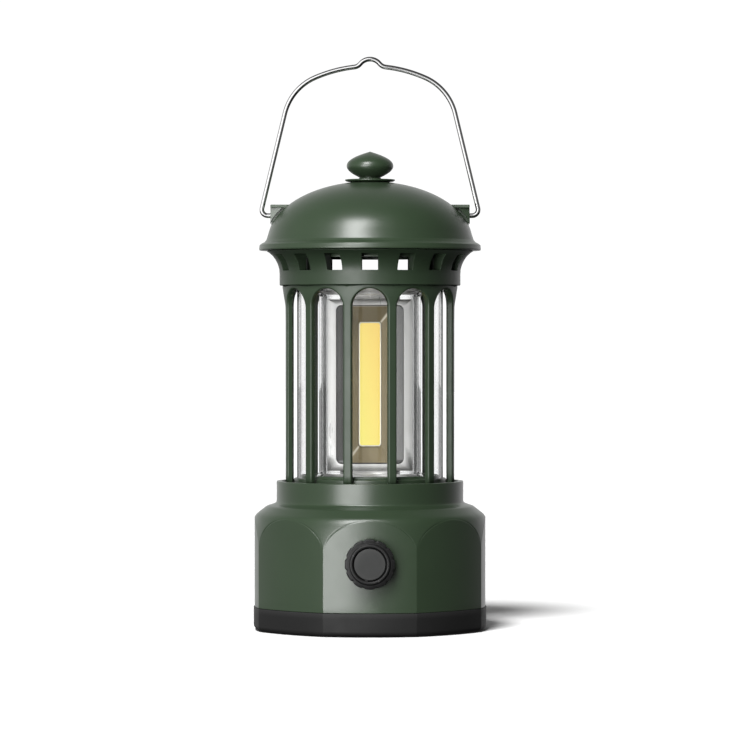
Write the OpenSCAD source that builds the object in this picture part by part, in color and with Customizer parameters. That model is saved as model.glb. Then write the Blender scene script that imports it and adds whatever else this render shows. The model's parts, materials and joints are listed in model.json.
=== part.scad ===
// Battery camping lantern in the style of an old lighthouse lamp, at real size.
// Millimetres. The origin is the middle of the foot, +Z is up and the dimmer knob faces -Y.

/* [Base] */
// Height of the black bottom cover
band_h = 9.2; // [8.6:0.1:9.6]
// Radius over the eight corners of the base
corner_r = 47.7; // [47.2:0.1:48.4]
// Radius of the bulge of each facet, seen from above
facet_arc_r = 68; // [64:1:74]
// Height at which the facet arches spring from the corners
arch_spring_z = 32; // [30:0.5:34]
// Radius of the plain collar above the shoulder
collar_r = 37.4; // [37.2:0.1:37.8]
// Height of the collar's top edge
collar_top_z = 59.2; // [58.8:0.1:59.8]
// Wall thickness of the base housing
housing_wall = 2.4; // [2.2:0.1:2.6]

/* [Dimmer] */
// Height of the knob's axis
knob_z = 28.6; // [28.4:0.1:29]
// Radius over the knob's grips
knob_r = 9.75; // [9.6:0.05:9.9]
// Number of notches round the knob
knob_notches = 12; // [8:1:14]

/* [Cage] */
// Number of bars
bar_count = 12; // [12:12:12]
// Width of a bar
bar_w = 3.6; // [3.4:0.1:3.8]
// Outer radius of the bars
bar_outer_r = 34.6; // [34.5:0.1:34.7]
// Width of the arched openings between bars
arch_w = 14.6; // [14.4:0.1:14.8]
// Height of the cage's upper edge
cage_top_z = 137.3; // [137.3:0.1:137.3]

/* [Light] */
// Outer radius of the clear liner
liner_r = 29.2; // [29:0.1:29.4]
// Outer radius of the clear lamp tube
tube_r = 20.4; // [20.3:0.1:20.6]
// Width of a lit strip
strip_w = 8.8; // [8.6:0.1:9.2]
// Length of a lit strip
strip_l = 49.4; // [48:0.2:50.4]

/* [Gallery and roof] */
// Number of windows round the gallery
window_count = 16; // [12:4:16]
// Width of a gallery window
window_w = 6.4; // [6:0.1:6.6]
// Radius of the dome where it meets the brim
dome_r = 41; // [40.8:0.1:41.2]
// Rise of the dome above its widest level
dome_rise = 24; // [23.8:0.1:24.2]
// Height of the finial's tip
finial_tip_z = 190.9; // [190:0.1:192]

/* [Bail] */
// Radius of the bail wire
wire_r = 1; // [0.9:0.05:1]
// Height of the bail's pivot
pivot_z = 165.3; // [165.1:0.1:165.5]
// Height of the wire's centre at the crown of its hook bump
bail_crown_z = 227.9; // [227.5:0.1:228.3]

/* [Hidden] */
$fn = 96;

green = [0.22, 0.31, 0.21];
black = [0.09, 0.09, 0.09];
steel = [0.75, 0.76, 0.78];
silver = [0.82, 0.82, 0.84];
glow = [1.0, 0.88, 0.5];

// Small overlap that makes a cut run cleanly through a face.
eps = 0.5;
// Radial clearance of a pin or spindle that turns in its bore.
running = 0.05;

// Base outline: eight gently bulging facets.
facets = 8;
half_facet = 180 / facets;
facet_mid_r = corner_r * cos(half_facet) + facet_arc_r
    - sqrt(pow(facet_arc_r, 2) - pow(corner_r * sin(half_facet), 2));
// How far the facet arches rise above their springing, and how far the body draws in over that rise.
arch_rise = 13.2;
arch_draw_in = corner_r - facet_mid_r;

// Levels of the stack inside the collar.
floor_h = 2.4;
ledge_z = 46.2;
ledge_top_z = 48.2;
deck_flange_z = 50.6;
deck_top_z = 60.4;
plate_z = 135.4;
collar_bore_r = 35.3;
ledge_bore_r = 30.2;

// Battery bay: three AA cells side by side, lying along Y, loaded from below.
cell_r = 7.1;
cell_pitch = 14.6;
cell_body_l = 49.2;
cell_nub_l = 1.2;
cell_z = 11.2;
bay_w = 44.6;
bay_l = 56;
bay_top_z = 19;
holder_wall = 1.6;
contact_t = 0.4;

// Battery door and its hinge, along X near the rear edge of the bay.
door_t = 1.6;
door_z = 0.4;
door_gap = 0.4;
door_hinge_y = 26.6;
door_hinge_z = door_z + door_t / 2;
door_pin_r = 0.6;
door_pin_l = 2.2;

// Base screws sit at the two corners on each side.
base_screw_r = 39;
base_screw_angles = [22.5, 157.5, 202.5, 337.5];
screw_shank_r = 1.25;
pilot_r = 1.3;
screw_head_r = 2.6;
screw_head_h = 1.8;
base_screw_seat_z = 5;

// Dimmer stack along -Y, measured from the axis of the lantern.
wall_inner_y = facet_mid_r - housing_wall;
bushing_r = 4.4;
pot_body_r = 6.8;
pot_back_y = 35.8;
pot_front_y = wall_inner_y - 0.4;
washer_t = 0.5;
nut_t = 1.6;
shaft_r = 2.95;
knob_back_y = facet_mid_r + 0.4;
knob_rim_y = knob_back_y + 4.4;
shaft_end_y = knob_rim_y - 1.2;
knob_front_y = knob_back_y + 5.5;
knob_ring_r = 7.8;
knob_groove_r = 6.65;
knob_cap_r = 6.1;

// Driver board, hung from three posts under the deck.
board_r = 26;
board_z = 40;
board_t = 1.6;
board_post_r = 21;
board_post_angles = [30, 150, 270];

// Cage: a foot ring, the bars, and an arched head that starts below the arches' springing.
cage_inner_r = 30.6;
cage_band_r = 35;
cage_band_z = 133.5;
cage_ring_top_z = 57;
cage_head_z = 127;
arch_centre_z = 128.6;
cage_screw_pcr = 32.8;
cage_screw_angles = [0, 90, 180, 270];

// Triangular reflector core with three stepped trays.
core_corner_r = 19.2;
core_trim_r = 18.9;
core_z = 63.5;
core_top_z = 131.7;
core_face_y = core_corner_r / 2;
tray_half_w = 13.2;
tray_z = 66.2;
tray_top_z = 129.5;
tray_depth = 1.2;
funnel_half_w = 9.2;
funnel_depth = 3.2;
core_bore_r = 3.5;
core_disc_r = 18.8;
core_disc_t = 1.8;
core_neck_r = 12;
strip_t = 1;

// Leads from the battery bay to the board, and from the board up into the core.
lead_r = 0.8;
lead_end_z = 100;

// Gallery and roof.
gallery_r = 36.2;
gallery_bore_r = 32.4;
gallery_floor_z = 139.3;
gallery_flare_z = 141.5;
gallery_top_r = 41.4;
roof_seat_z = 151.2;
window_z = 143.1;
window_h = 6.5;
dome_z = 155;
dome_wall = 2.2;
dome_flat_z = 178.6;
// Level of the small flat under the dome's crown, on which the finial screw's head bears.
crown_flat_z = dome_z + (dome_rise - dome_wall) * 0.995;
skirt_r = 32.2;
skirt_z = 148.2;
roof_screw_xy = [22.9, 13.2];

// Ears.
ear_x = 39.8;
ear_top_z = 169.6;
ear_low_z = 160.2;
ear_half_y = 4;

// Bail centreline: tangent arcs for the hook bump, its valleys, the crown and the shoulders.
bump_r = 5;
valley_r = 3.5;
crown_r = 55;
crown_drop = 2.8;
shoulder_r = 21.1;
foot_r = 2.4;
leg_lean = 13.6;
shoulder_angle = 23.6;
bump_centre_z = bail_crown_z - bump_r;
crown_centre_z = bail_crown_z - crown_drop - crown_r;
bump_to_crown = bump_centre_z - crown_centre_z;
bump_reach = bump_r + valley_r;
crown_reach = crown_r + valley_r;
valley_z = crown_centre_z
    + (pow(crown_reach, 2) - pow(bump_reach, 2) + pow(bump_to_crown, 2)) / (2 * bump_to_crown);
valley_x = sqrt(pow(crown_reach, 2) - pow(valley_z - crown_centre_z, 2));
bump_angle = atan2(valley_x, valley_z - bump_centre_z);
valley_angle = atan2(valley_x, valley_z - crown_centre_z);
shoulder_x = (crown_r - shoulder_r) * sin(shoulder_angle);
shoulder_z = crown_centre_z + (crown_r - shoulder_r) * cos(shoulder_angle);
foot_z = pivot_z + foot_r;
leg_top = [shoulder_x + shoulder_r * cos(leg_lean), shoulder_z + shoulder_r * sin(leg_lean)];
leg_foot_z = foot_z + foot_r * sin(leg_lean);
leg_foot_x = leg_top[0] + (leg_top[1] - leg_foot_z) * tan(leg_lean);
foot_x = leg_foot_x - foot_r * cos(leg_lean);
leg_l = (leg_top[1] - leg_foot_z) / cos(leg_lean);
bail_end_x = 33;

// ---------------------------------------------------------------- shared shapes

// Outline of the base, drawn in by inset.
module facet_outline(inset = 0) {
    intersection_for(side = [0 : facets - 1]) {
        rotate(side * 360 / facets)
            translate([0, facet_arc_r - facet_mid_r])
                circle(r = facet_arc_r - inset);
    }
}

// Upright tube between two levels.
module tube(outer, inner, low, high) {
    difference() {
        translate([0, 0, low]) cylinder(h = high - low, r = outer);
        translate([0, 0, low - eps]) cylinder(h = high - low + 2 * eps, r = inner);
    }
}

// Upright cylinder between two levels.
module post(r, low, high) {
    translate([0, 0, low]) cylinder(h = high - low, r = r);
}

// Places children at one radius and a list of angles.
module around(radius, angles) {
    for (angle = angles) {
        rotate(angle) translate([radius, 0, 0]) children();
    }
}

// Cylinder along -Y at the knob's height, between two distances from the lantern's axis.
module knob_axis_rod(r, near_y, far_y) {
    translate([0, -near_y, knob_z]) rotate([90, 0, 0]) cylinder(h = far_y - near_y, r = r);
}

// Pan-head screw pointing up, its head's underside at z = 0.
module screw_up(head_r, head_h, shank_radius, length) {
    translate([0, 0, -head_h]) cylinder(h = head_h, r = head_r);
    cylinder(h = length, r = shank_radius);
}

// ---------------------------------------------------------------- underside and batteries

module bottom_cover() {
    foot_round = 2;
    wall = 4;
    lip_gap = 0.15;
    lip_h = 2;
    column_r = 4.3;
    color(black) difference() {
        union() {
            difference() {
                intersection() {
                    linear_extrude(band_h) facet_outline();
                    rotate_extrude() polygon([
                        [0, 0], [corner_r - foot_round, 0], [corner_r - foot_round * 0.3, foot_round * 0.3],
                        [corner_r + 0.2, foot_round], [corner_r + 0.2, band_h + eps], [0, band_h + eps]
                    ]);
                }
                translate([0, 0, floor_h]) linear_extrude(band_h) facet_outline(wall);
            }
            translate([0, 0, band_h - eps]) linear_extrude(eps + lip_h) difference() {
                facet_outline(housing_wall + lip_gap);
                facet_outline(wall);
            }
            around(base_screw_r, base_screw_angles) post(column_r, 0, band_h);
        }
        translate([-bay_w / 2, -bay_l / 2, -eps]) cube([bay_w, bay_l, floor_h + 2 * eps]);
        translate([-bay_w / 2 - door_pin_l, door_hinge_y, door_hinge_z])
            rotate([0, 90, 0]) cylinder(h = bay_w + 2 * door_pin_l, r = door_pin_r + running);
        around(base_screw_r, base_screw_angles) {
            post(screw_head_r + 0.3, -eps, base_screw_seat_z);
            post(screw_shank_r + 0.25, 0, band_h + eps);
        }
    }
}

module battery_door() {
    half_w = bay_w / 2 - door_gap;
    front_y = -bay_l / 2 + door_gap;
    notch_r = 6;
    color(black) difference() {
        union() {
            translate([-half_w, front_y, door_z]) cube([2 * half_w, door_hinge_y - front_y, door_t]);
            translate([-half_w, door_hinge_y, door_hinge_z])
                rotate([0, 90, 0]) cylinder(h = 2 * half_w, r = door_t / 2);
            translate([-half_w - door_pin_l, door_hinge_y, door_hinge_z])
                rotate([0, 90, 0]) cylinder(h = 2 * (half_w + door_pin_l), r = door_pin_r);
        }
        translate([0, front_y - notch_r / 2, door_z - eps]) cylinder(h = door_t + 2 * eps, r = notch_r);
    }
}

module battery_holder() {
    outer_w = bay_w + 2 * holder_wall;
    outer_l = bay_l + 2 * holder_wall;
    color(black) difference() {
        translate([-outer_w / 2, -outer_l / 2, floor_h])
            cube([outer_w, outer_l, bay_top_z + holder_wall - floor_h]);
        translate([-bay_w / 2, -bay_l / 2, floor_h - eps]) cube([bay_w, bay_l, bay_top_z - floor_h + eps]);
    }
}

// Places children at each cell, with its positive end turned to alternate sides.
module each_cell() {
    for (i = [-1 : 1]) {
        translate([i * cell_pitch, 0, cell_z]) rotate([0, 0, i == 0 ? 180 : 0]) children();
    }
}

module battery_cells() {
    tip_y = -bay_l / 2 + contact_t;
    color([0.45, 0.46, 0.48]) each_cell() {
        translate([0, tip_y + cell_nub_l, 0]) rotate([-90, 0, 0]) cylinder(h = cell_body_l, r = cell_r);
        translate([0, tip_y, 0]) rotate([-90, 0, 0]) cylinder(h = cell_nub_l, r = 2.6);
    }
}

module battery_springs() {
    back_y = -bay_l / 2 + contact_t + cell_nub_l + cell_body_l;
    spring_l = bay_l / 2 - contact_t - back_y;
    color(steel) each_cell()
        translate([0, back_y, 0]) rotate([-90, 0, 0]) difference() {
            cylinder(h = spring_l, r1 = 3, r2 = 4.6);
            translate([0, 0, -eps]) cylinder(h = spring_l + 2 * eps, r = 2.2);
        }
}

module battery_contacts() {
    plate_w = 11;
    color("gold") for (end = [-1, 1]) {
        for (i = [-1 : 1]) {
            translate([i * cell_pitch, end * (bay_l - contact_t) / 2, cell_z])
                cube([plate_w, contact_t, plate_w], center = true);
        }
    }
}

// ---------------------------------------------------------------- base housing

// Radius of the housing's body of revolution above the arches' springing.
function body_r(z) = corner_r + 0.02 - arch_draw_in * pow((z - arch_spring_z) / arch_rise, 2);

module housing_outside() {
    arc_steps = 6;
    arc_h = arch_rise - 0.6;
    intersection() {
        translate([0, 0, band_h]) linear_extrude(collar_top_z - band_h) facet_outline();
        rotate_extrude() polygon(concat(
            [[0, band_h - eps], [corner_r + 0.5, band_h - eps], [corner_r + 0.5, arch_spring_z - 2]],
            [for (i = [0 : arc_steps]) let (z = arch_spring_z + arc_h * i / arc_steps) [body_r(z), z]],
            [[46.1, 45.6], [41.4, 49.2], [38.4, 50.2], [collar_r + 0.2, 50.9], [collar_r, 51.8]],
            [[collar_r, collar_top_z - 0.4], [collar_r - 0.4, collar_top_z], [0, collar_top_z]]
        ));
    }
}

module housing_inside() {
    intersection() {
        translate([0, 0, band_h - eps]) linear_extrude(ledge_z - band_h + eps) facet_outline(housing_wall);
        rotate_extrude() polygon([
            [0, band_h - eps], [corner_r, band_h - eps], [corner_r, 39.5],
            [40.6, ledge_z], [0, ledge_z]
        ]);
    }
}

module base_housing() {
    boss_r = 3.4;
    boss_top_z = 24;
    rib_z = band_h + 2.4;
    rib_l = corner_r - base_screw_r - 1.2;
    rib_w = 2;
    color(green) difference() {
        union() {
            difference() {
                housing_outside();
                housing_inside();
                post(ledge_bore_r, ledge_z - eps, ledge_top_z + eps);
                post(collar_bore_r, ledge_top_z, collar_top_z + eps);
            }
            around(base_screw_r, base_screw_angles) {
                post(boss_r, band_h, boss_top_z);
                translate([0, -rib_w / 2, rib_z]) cube([rib_l, rib_w, boss_top_z - rib_z]);
            }
        }
        around(base_screw_r, base_screw_angles) post(pilot_r, band_h - eps, boss_top_z - 3);
        around(cage_screw_pcr, cage_screw_angles)
            post(screw_shank_r + 0.15, ledge_z - eps, ledge_top_z + eps);
        knob_axis_rod(bushing_r + 0.1, wall_inner_y - 2, facet_mid_r + 2);
    }
}

// ---------------------------------------------------------------- electronics

module driver_board() {
    color("darkgreen") difference() {
        post(board_r, board_z, board_z + board_t);
        around(board_post_r, board_post_angles) post(1.3, board_z - eps, board_z + board_t + eps);
    }
}

module board_parts() {
    color([0.15, 0.15, 0.17]) {
        translate([11, 7, board_z - 5]) cylinder(h = 5, r = 4.5);
        translate([-11, 8, board_z - 8]) cylinder(h = 8, r = 3.2);
        translate([-12, -9, board_z - 1.8]) cube([5, 4, 1.8]);
        translate([4, -10, board_z - 1.6]) cube([6, 5, 1.6]);
        translate([-6, 14, board_z - 4.5]) cube([12, 5, 4.5]);
    }
}

module board_screws() {
    color(steel) around(board_post_r, board_post_angles)
        translate([0, 0, board_z]) screw_up(2.1, 1.4, 1.0, 6);
}

module dimmer_pot() {
    color([0.6, 0.62, 0.64]) difference() {
        union() {
            knob_axis_rod(pot_body_r, pot_back_y, pot_front_y);
            knob_axis_rod(bushing_r, pot_front_y - eps, facet_mid_r + washer_t + nut_t + 0.6);
        }
        knob_axis_rod(shaft_r + running, pot_back_y + 1.6, facet_mid_r + 6);
    }
}

module pot_washer() {
    color(steel) difference() {
        knob_axis_rod(6, facet_mid_r, facet_mid_r + washer_t);
        knob_axis_rod(bushing_r + 0.1, facet_mid_r - eps, facet_mid_r + washer_t + eps);
    }
}

module pot_nut() {
    nut_y = facet_mid_r + washer_t;
    color(steel) difference() {
        translate([0, -nut_y, knob_z]) rotate([90, 0, 0]) cylinder(h = nut_t, r = 6.2, $fn = 6);
        knob_axis_rod(bushing_r + 0.05, nut_y - eps, nut_y + nut_t + eps);
    }
}

module pot_ribbon() {
    ribbon_w = 8;
    ribbon_t = 0.9;
    ribbon_y = 39.4;
    ribbon_z = board_z + 0.3;
    ribbon_low_z = knob_z + 5.6;
    color([0.7, 0.7, 0.7]) {
        translate([-ribbon_w / 2, -ribbon_y, ribbon_low_z])
            cube([ribbon_w, ribbon_t, ribbon_z + ribbon_t - ribbon_low_z]);
        translate([-ribbon_w / 2, -ribbon_y, ribbon_z])
            cube([ribbon_w, ribbon_y - board_r + 0.8, ribbon_t]);
    }
}

module dimmer_shaft() {
    color(steel) knob_axis_rod(shaft_r, pot_back_y + 1.8, shaft_end_y);
}

module dimmer_knob() {
    notch_r = 0.9;
    notch_depth = 0.35;
    notch_pcr = knob_r + notch_r - notch_depth;
    cavity_r = 7;
    cavity_y = facet_mid_r + washer_t + nut_t + 1;
    color(black) difference() {
        union() {
            knob_axis_rod(knob_r, knob_back_y, knob_rim_y);
            knob_axis_rod(knob_ring_r, knob_rim_y - eps, knob_front_y);
        }
        knob_axis_rod(cavity_r, knob_back_y - eps, cavity_y);
        knob_axis_rod(shaft_r, knob_back_y - eps, shaft_end_y);
        knob_axis_rod(knob_groove_r, knob_rim_y, knob_front_y + eps);
        translate([0, 0, knob_z]) rotate([90, 0, 0])
            around(notch_pcr, [for (i = [0 : knob_notches - 1]) (i + 0.5) * 360 / knob_notches])
                post(notch_r, knob_back_y - eps, knob_rim_y + eps);
    }
}

module knob_cap() {
    color([0.27, 0.27, 0.27]) knob_axis_rod(knob_cap_r, knob_rim_y, knob_front_y - 0.3);
}

// ---------------------------------------------------------------- lamp room

module lamp_deck() {
    deck_r = 30.3;
    skirt_inner_r = 26.9;
    lead_hole_r = 5;
    ceiling_z = deck_top_z - 3;
    color(green) difference() {
        union() {
            rotate_extrude() polygon([
                [lead_hole_r, ceiling_z], [skirt_inner_r, ceiling_z], [skirt_inner_r, ledge_top_z],
                [cage_band_r, ledge_top_z], [cage_band_r, deck_flange_z], [deck_r, deck_flange_z],
                [deck_r, deck_top_z], [lead_hole_r, deck_top_z]
            ]);
            tube(liner_r - 1.3, liner_r - 2.4, deck_top_z - eps, deck_top_z + 1.2);
            around(board_post_r, board_post_angles) post(2.6, board_z + board_t, ceiling_z + eps);
        }
        around(board_post_r, board_post_angles) post(1.05, board_z + board_t - eps, 47);
        around(cage_screw_pcr, cage_screw_angles)
            post(screw_shank_r + 0.15, ledge_top_z - eps, deck_flange_z + eps);
    }
}

// Upright slot with a round head, reaching through the cage wall.
module arch_cutter(low) {
    rotate([90, 0, 90]) linear_extrude(cage_band_r + eps) polygon(concat(
        [[-arch_w / 2, low], [arch_w / 2, low]],
        [for (angle = [0 : 12 : 180]) arch_w / 2 * [cos(angle), sin(angle)] + [0, arch_centre_z]]
    ));
}

module cage() {
    screw_hole_top_z = 55.6;
    color(green) {
        difference() {
            tube(cage_band_r, cage_inner_r, deck_flange_z, cage_ring_top_z);
            around(cage_screw_pcr, cage_screw_angles) post(pilot_r, deck_flange_z - eps, screw_hole_top_z);
        }
        for (i = [0 : bar_count - 1]) {
            rotate((i + 0.5) * 360 / bar_count)
                translate([cage_inner_r + 0.1, -bar_w / 2, cage_ring_top_z - eps])
                    cube([bar_outer_r - cage_inner_r - 0.2, bar_w, arch_centre_z + 2 - cage_ring_top_z]);
        }
        difference() {
            rotate_extrude() polygon([
                [cage_inner_r, cage_head_z], [bar_outer_r, cage_head_z], [bar_outer_r, cage_band_z],
                [cage_band_r, cage_band_z + 0.4], [cage_band_r, cage_top_z], [cage_inner_r, cage_top_z]
            ]);
            for (i = [0 : bar_count - 1]) {
                rotate(i * 360 / bar_count) arch_cutter(cage_head_z - eps);
            }
        }
    }
}

module liner_tube() {
    color([0.85, 0.9, 0.9, 0.3]) tube(liner_r, liner_r - 1.2, deck_top_z, plate_z);
}

module lamp_tube() {
    wall = 1;
    lip = 1.2;
    lip_h = 2.6;
    color([0.85, 0.9, 0.9, 0.3]) rotate_extrude() polygon([
        [tube_r - wall + lip, deck_top_z], [tube_r + lip, deck_top_z],
        [tube_r, deck_top_z + lip_h], [tube_r, plate_z - lip_h],
        [tube_r + lip, plate_z], [tube_r - wall + lip, plate_z],
        [tube_r - wall, plate_z - lip_h], [tube_r - wall, deck_top_z + lip_h]
    ]);
}

// Places children once for each face of the core; the first face looks along -Y.
module each_face() {
    for (face = [0 : 2]) {
        rotate(face * 120) children();
    }
}

// Stepped tray cut into the face that looks along -Y.
module core_tray() {
    funnel_y = core_face_y - tray_depth;
    floor_y = core_face_y - funnel_depth;
    funnel_z = [tray_z + 2.4, tray_top_z - 2.2];
    strip_z = (funnel_z[0] + funnel_z[1]) / 2;
    translate([-tray_half_w, -core_face_y - eps, tray_z])
        cube([2 * tray_half_w, tray_depth + eps, tray_top_z - tray_z]);
    intersection() {
        translate([0, 0, tray_z]) linear_extrude(tray_top_z - tray_z) polygon([
            [-funnel_half_w, -funnel_y - 0.2], [funnel_half_w, -funnel_y - 0.2],
            [funnel_half_w, -funnel_y], [strip_w / 2 + 0.2, -floor_y],
            [-strip_w / 2 - 0.2, -floor_y], [-funnel_half_w, -funnel_y]
        ]);
        translate([-tray_half_w, 0, 0]) rotate([90, 0, 90]) linear_extrude(2 * tray_half_w) polygon([
            [-funnel_y - 0.2, funnel_z[0]], [-funnel_y, funnel_z[0]],
            [-floor_y, strip_z - strip_l / 2 - 0.2], [-floor_y, strip_z + strip_l / 2 + 0.2],
            [-funnel_y, funnel_z[1]], [-funnel_y - 0.2, funnel_z[1]]
        ]);
    }
}

// Round end of the core: a disc at the tube's end and a drawn-in neck next to the prism.
module core_end(disc_low, neck_low, neck_high) {
    post(core_disc_r, disc_low, disc_low + core_disc_t);
    post(core_neck_r, neck_low, neck_high);
}

module reflector_core() {
    color(silver) difference() {
        union() {
            intersection() {
                rotate(-90 + 60) translate([0, 0, core_z])
                    cylinder(h = core_top_z - core_z, r = core_corner_r, $fn = 3);
                post(core_trim_r, core_z, core_top_z);
            }
            core_end(deck_top_z, deck_top_z + eps, core_z + eps);
            core_end(plate_z - core_disc_t, core_top_z - eps, plate_z - eps);
        }
        each_face() core_tray();
        post(core_bore_r, deck_top_z - eps, plate_z + eps);
    }
}

module cob_strip(face) {
    mid_z = (tray_z + tray_top_z + 0.2) / 2;
    color(glow) rotate(face * 120)
        translate([-strip_w / 2, -core_face_y + funnel_depth - strip_t, mid_z - strip_l / 2])
            cube([strip_w, strip_t, strip_l]);
}

module cob_strip_1() { cob_strip(0); }
module cob_strip_2() { cob_strip(1); }
module cob_strip_3() { cob_strip(2); }

module top_plate() {
    color(silver) difference() {
        post(cage_inner_r - 0.2, plate_z, cage_top_z);
        post(core_bore_r, plate_z - eps, cage_top_z + eps);
        at_roof_screws() post(2.5, plate_z - eps, cage_top_z + eps);
    }
}

// ---------------------------------------------------------------- gallery and roof

module at_roof_screws() {
    for (sx = [-1, 1]) {
        for (sy = [-1, 1]) {
            translate([sx * roof_screw_xy[0], sy * roof_screw_xy[1], 0]) children();
        }
    }
}

module gallery_ring() {
    // The flare is a concave arc that turns outward as it rises to the roof's seat.
    flare_h = roof_seat_z - gallery_flare_z;
    flare_out = gallery_top_r - gallery_r;
    flare_r = (pow(flare_h, 2) + pow(flare_out, 2)) / (2 * flare_out);
    flare_turn = asin(flare_h / flare_r);
    flare_steps = 8;
    floor_bore_r = 22;
    color(green) difference() {
        rotate_extrude() polygon(concat(
            [[floor_bore_r, cage_top_z], [gallery_r, cage_top_z]],
            [for (i = [0 : flare_steps]) let (t = flare_turn * i / flare_steps)
                [gallery_r + flare_r * (1 - cos(t)), gallery_flare_z + flare_r * sin(t)]],
            [[gallery_bore_r, roof_seat_z], [gallery_bore_r, gallery_floor_z]],
            [[floor_bore_r, gallery_floor_z]]
        ));
        for (i = [0 : window_count - 1]) {
            rotate(i * 360 / window_count)
                translate([gallery_bore_r - 2, -window_w / 2, window_z]) cube([12, window_w, window_h]);
        }
        at_roof_screws() post(1.5, cage_top_z - eps, gallery_floor_z + eps);
    }
}

// Quarter ellipse from the widest level up to a given height, as [radius, height] points.
function dome_curve(r, rise, top_z, steps) = [
    for (i = [0 : steps]) let (t = asin((top_z - dome_z) / rise) * i / steps)
        [r * cos(t), dome_z + rise * sin(t)]
];

module roof_shell() {
    inner_r = dome_r - dome_wall;
    inner_rise = dome_rise - dome_wall;
    skirt_inner_r = skirt_r - 1.8;
    brim_top_z = roof_seat_z + 2.2;
    outer_curve = dome_curve(dome_r, dome_rise, dome_flat_z, 14);
    inner_curve = dome_curve(inner_r, inner_rise, crown_flat_z, 12);
    rotate_extrude() polygon(concat(
        [[skirt_r, roof_seat_z], [43.9, roof_seat_z], [44.4, 151.8], [44.2, 153.1], [43.4, 154.2]],
        [[42.1, 155.1], [41.3, 156.1], [dome_r - 0.2, 157.6]],
        [for (point = outer_curve) if (point[1] > 158.5) point],
        [[0, dome_flat_z], [0, crown_flat_z]],
        [for (i = [len(inner_curve) - 1 : -1 : 0]) inner_curve[i]],
        [[inner_r - 0.2, brim_top_z], [skirt_inner_r, brim_top_z]],
        [[skirt_inner_r, skirt_z], [skirt_r, skirt_z]]
    ));
}

module ear() {
    translate([0, ear_half_y, 0]) rotate([90, 0, 0]) linear_extrude(2 * ear_half_y) polygon([
        [ear_x, ear_low_z], [ear_x, ear_top_z], [31, ear_top_z], [35, 166], [38.9, ear_low_z]
    ]);
}

module roof_cap() {
    boss_top_z = 171.4;
    color(green) difference() {
        union() {
            roof_shell();
            ear();
            mirror([1, 0, 0]) ear();
            at_roof_screws() post(2.9, gallery_floor_z, boss_top_z);
        }
        translate([-ear_x - 2, 0, pivot_z]) rotate([0, 90, 0]) cylinder(h = 12, r = wire_r + running);
        translate([ear_x - 10, 0, pivot_z]) rotate([0, 90, 0]) cylinder(h = 12, r = wire_r + running);
        at_roof_screws() post(pilot_r, gallery_floor_z - eps, roof_seat_z + 0.8);
        post(1.6, boss_top_z, dome_flat_z + eps);
    }
}

module finial() {
    bulb_r = 9.35;
    bulb_z = 185.1;
    neck_r = 4.2;
    neck_z = 180.4;
    steps = 8;
    tip_h = finial_tip_z - bulb_z;
    color(green) difference() {
        rotate_extrude() polygon(concat(
            [[0, dome_flat_z], [7.4, dome_flat_z], [9.6, 178.9], [10.1, 179.3], [9.9, 179.7]],
            [[6.4, 179.95]],
            [for (i = [0 : steps]) let (t = i / steps)
                [neck_r + (bulb_r - neck_r) * (1 - pow(1 - t, 2)), neck_z + (bulb_z - neck_z) * t]],
            [for (i = [1 : steps]) let (t = i / steps) [bulb_r * (1 - pow(t, 2.2)), bulb_z + tip_h * t]]
        ));
        post(1.5, dome_flat_z - eps, 186.5);
    }
}

module finial_screw() {
    color(steel) translate([0, 0, crown_flat_z]) screw_up(2.6, 1.6, 1.45, 9.2);
}

// ---------------------------------------------------------------- bail

// Arc of wire in the XZ plane about a centre; angles are counted from +Z towards +X.
module wire_arc(x, z, r, from_angle, to_angle) {
    translate([x, 0, z]) rotate([90, 0, 0]) rotate(90 - to_angle)
        rotate_extrude(angle = to_angle - from_angle) translate([r, 0]) circle(r = wire_r, $fn = 32);
}

module bail_half() {
    wire_arc(0, bump_centre_z, bump_r, 0, bump_angle);
    wire_arc(valley_x, valley_z, valley_r, 180 + valley_angle, 180 + bump_angle);
    wire_arc(0, crown_centre_z, crown_r, valley_angle, shoulder_angle);
    wire_arc(shoulder_x, shoulder_z, shoulder_r, shoulder_angle, 90 - leg_lean);
    translate([leg_foot_x, 0, leg_foot_z]) rotate([0, -leg_lean, 0])
        cylinder(h = leg_l, r = wire_r, $fn = 32);
    wire_arc(foot_x, foot_z, foot_r, 90 - leg_lean, 180);
    translate([bail_end_x, 0, pivot_z]) rotate([0, 90, 0])
        cylinder(h = foot_x - bail_end_x, r = wire_r, $fn = 32);
}

module bail_handle() {
    color(steel) {
        bail_half();
        mirror([1, 0, 0]) bail_half();
    }
}

// ---------------------------------------------------------------- screws and leads

module base_screws() {
    color(steel) around(base_screw_r, base_screw_angles)
        translate([0, 0, base_screw_seat_z]) screw_up(screw_head_r, screw_head_h, screw_shank_r, 15);
}

module cage_screws() {
    color(steel) around(cage_screw_pcr, cage_screw_angles)
        translate([0, 0, ledge_z]) screw_up(2.4, 1.6, screw_shank_r, 9);
}

module roof_screws() {
    color(steel) at_roof_screws()
        translate([0, 0, cage_top_z]) screw_up(2.3, 1.5, screw_shank_r, 13);
}

module battery_leads() {
    color("crimson") for (x = [-4, 4]) {
        translate([x, 22, 0]) post(lead_r, bay_top_z + holder_wall, board_z);
    }
}

module lamp_leads() {
    color("crimson") for (x = [-1.6, 1.6]) {
        translate([x, 0, 0]) post(lead_r, board_z + board_t, lead_end_z);
    }
}

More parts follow.
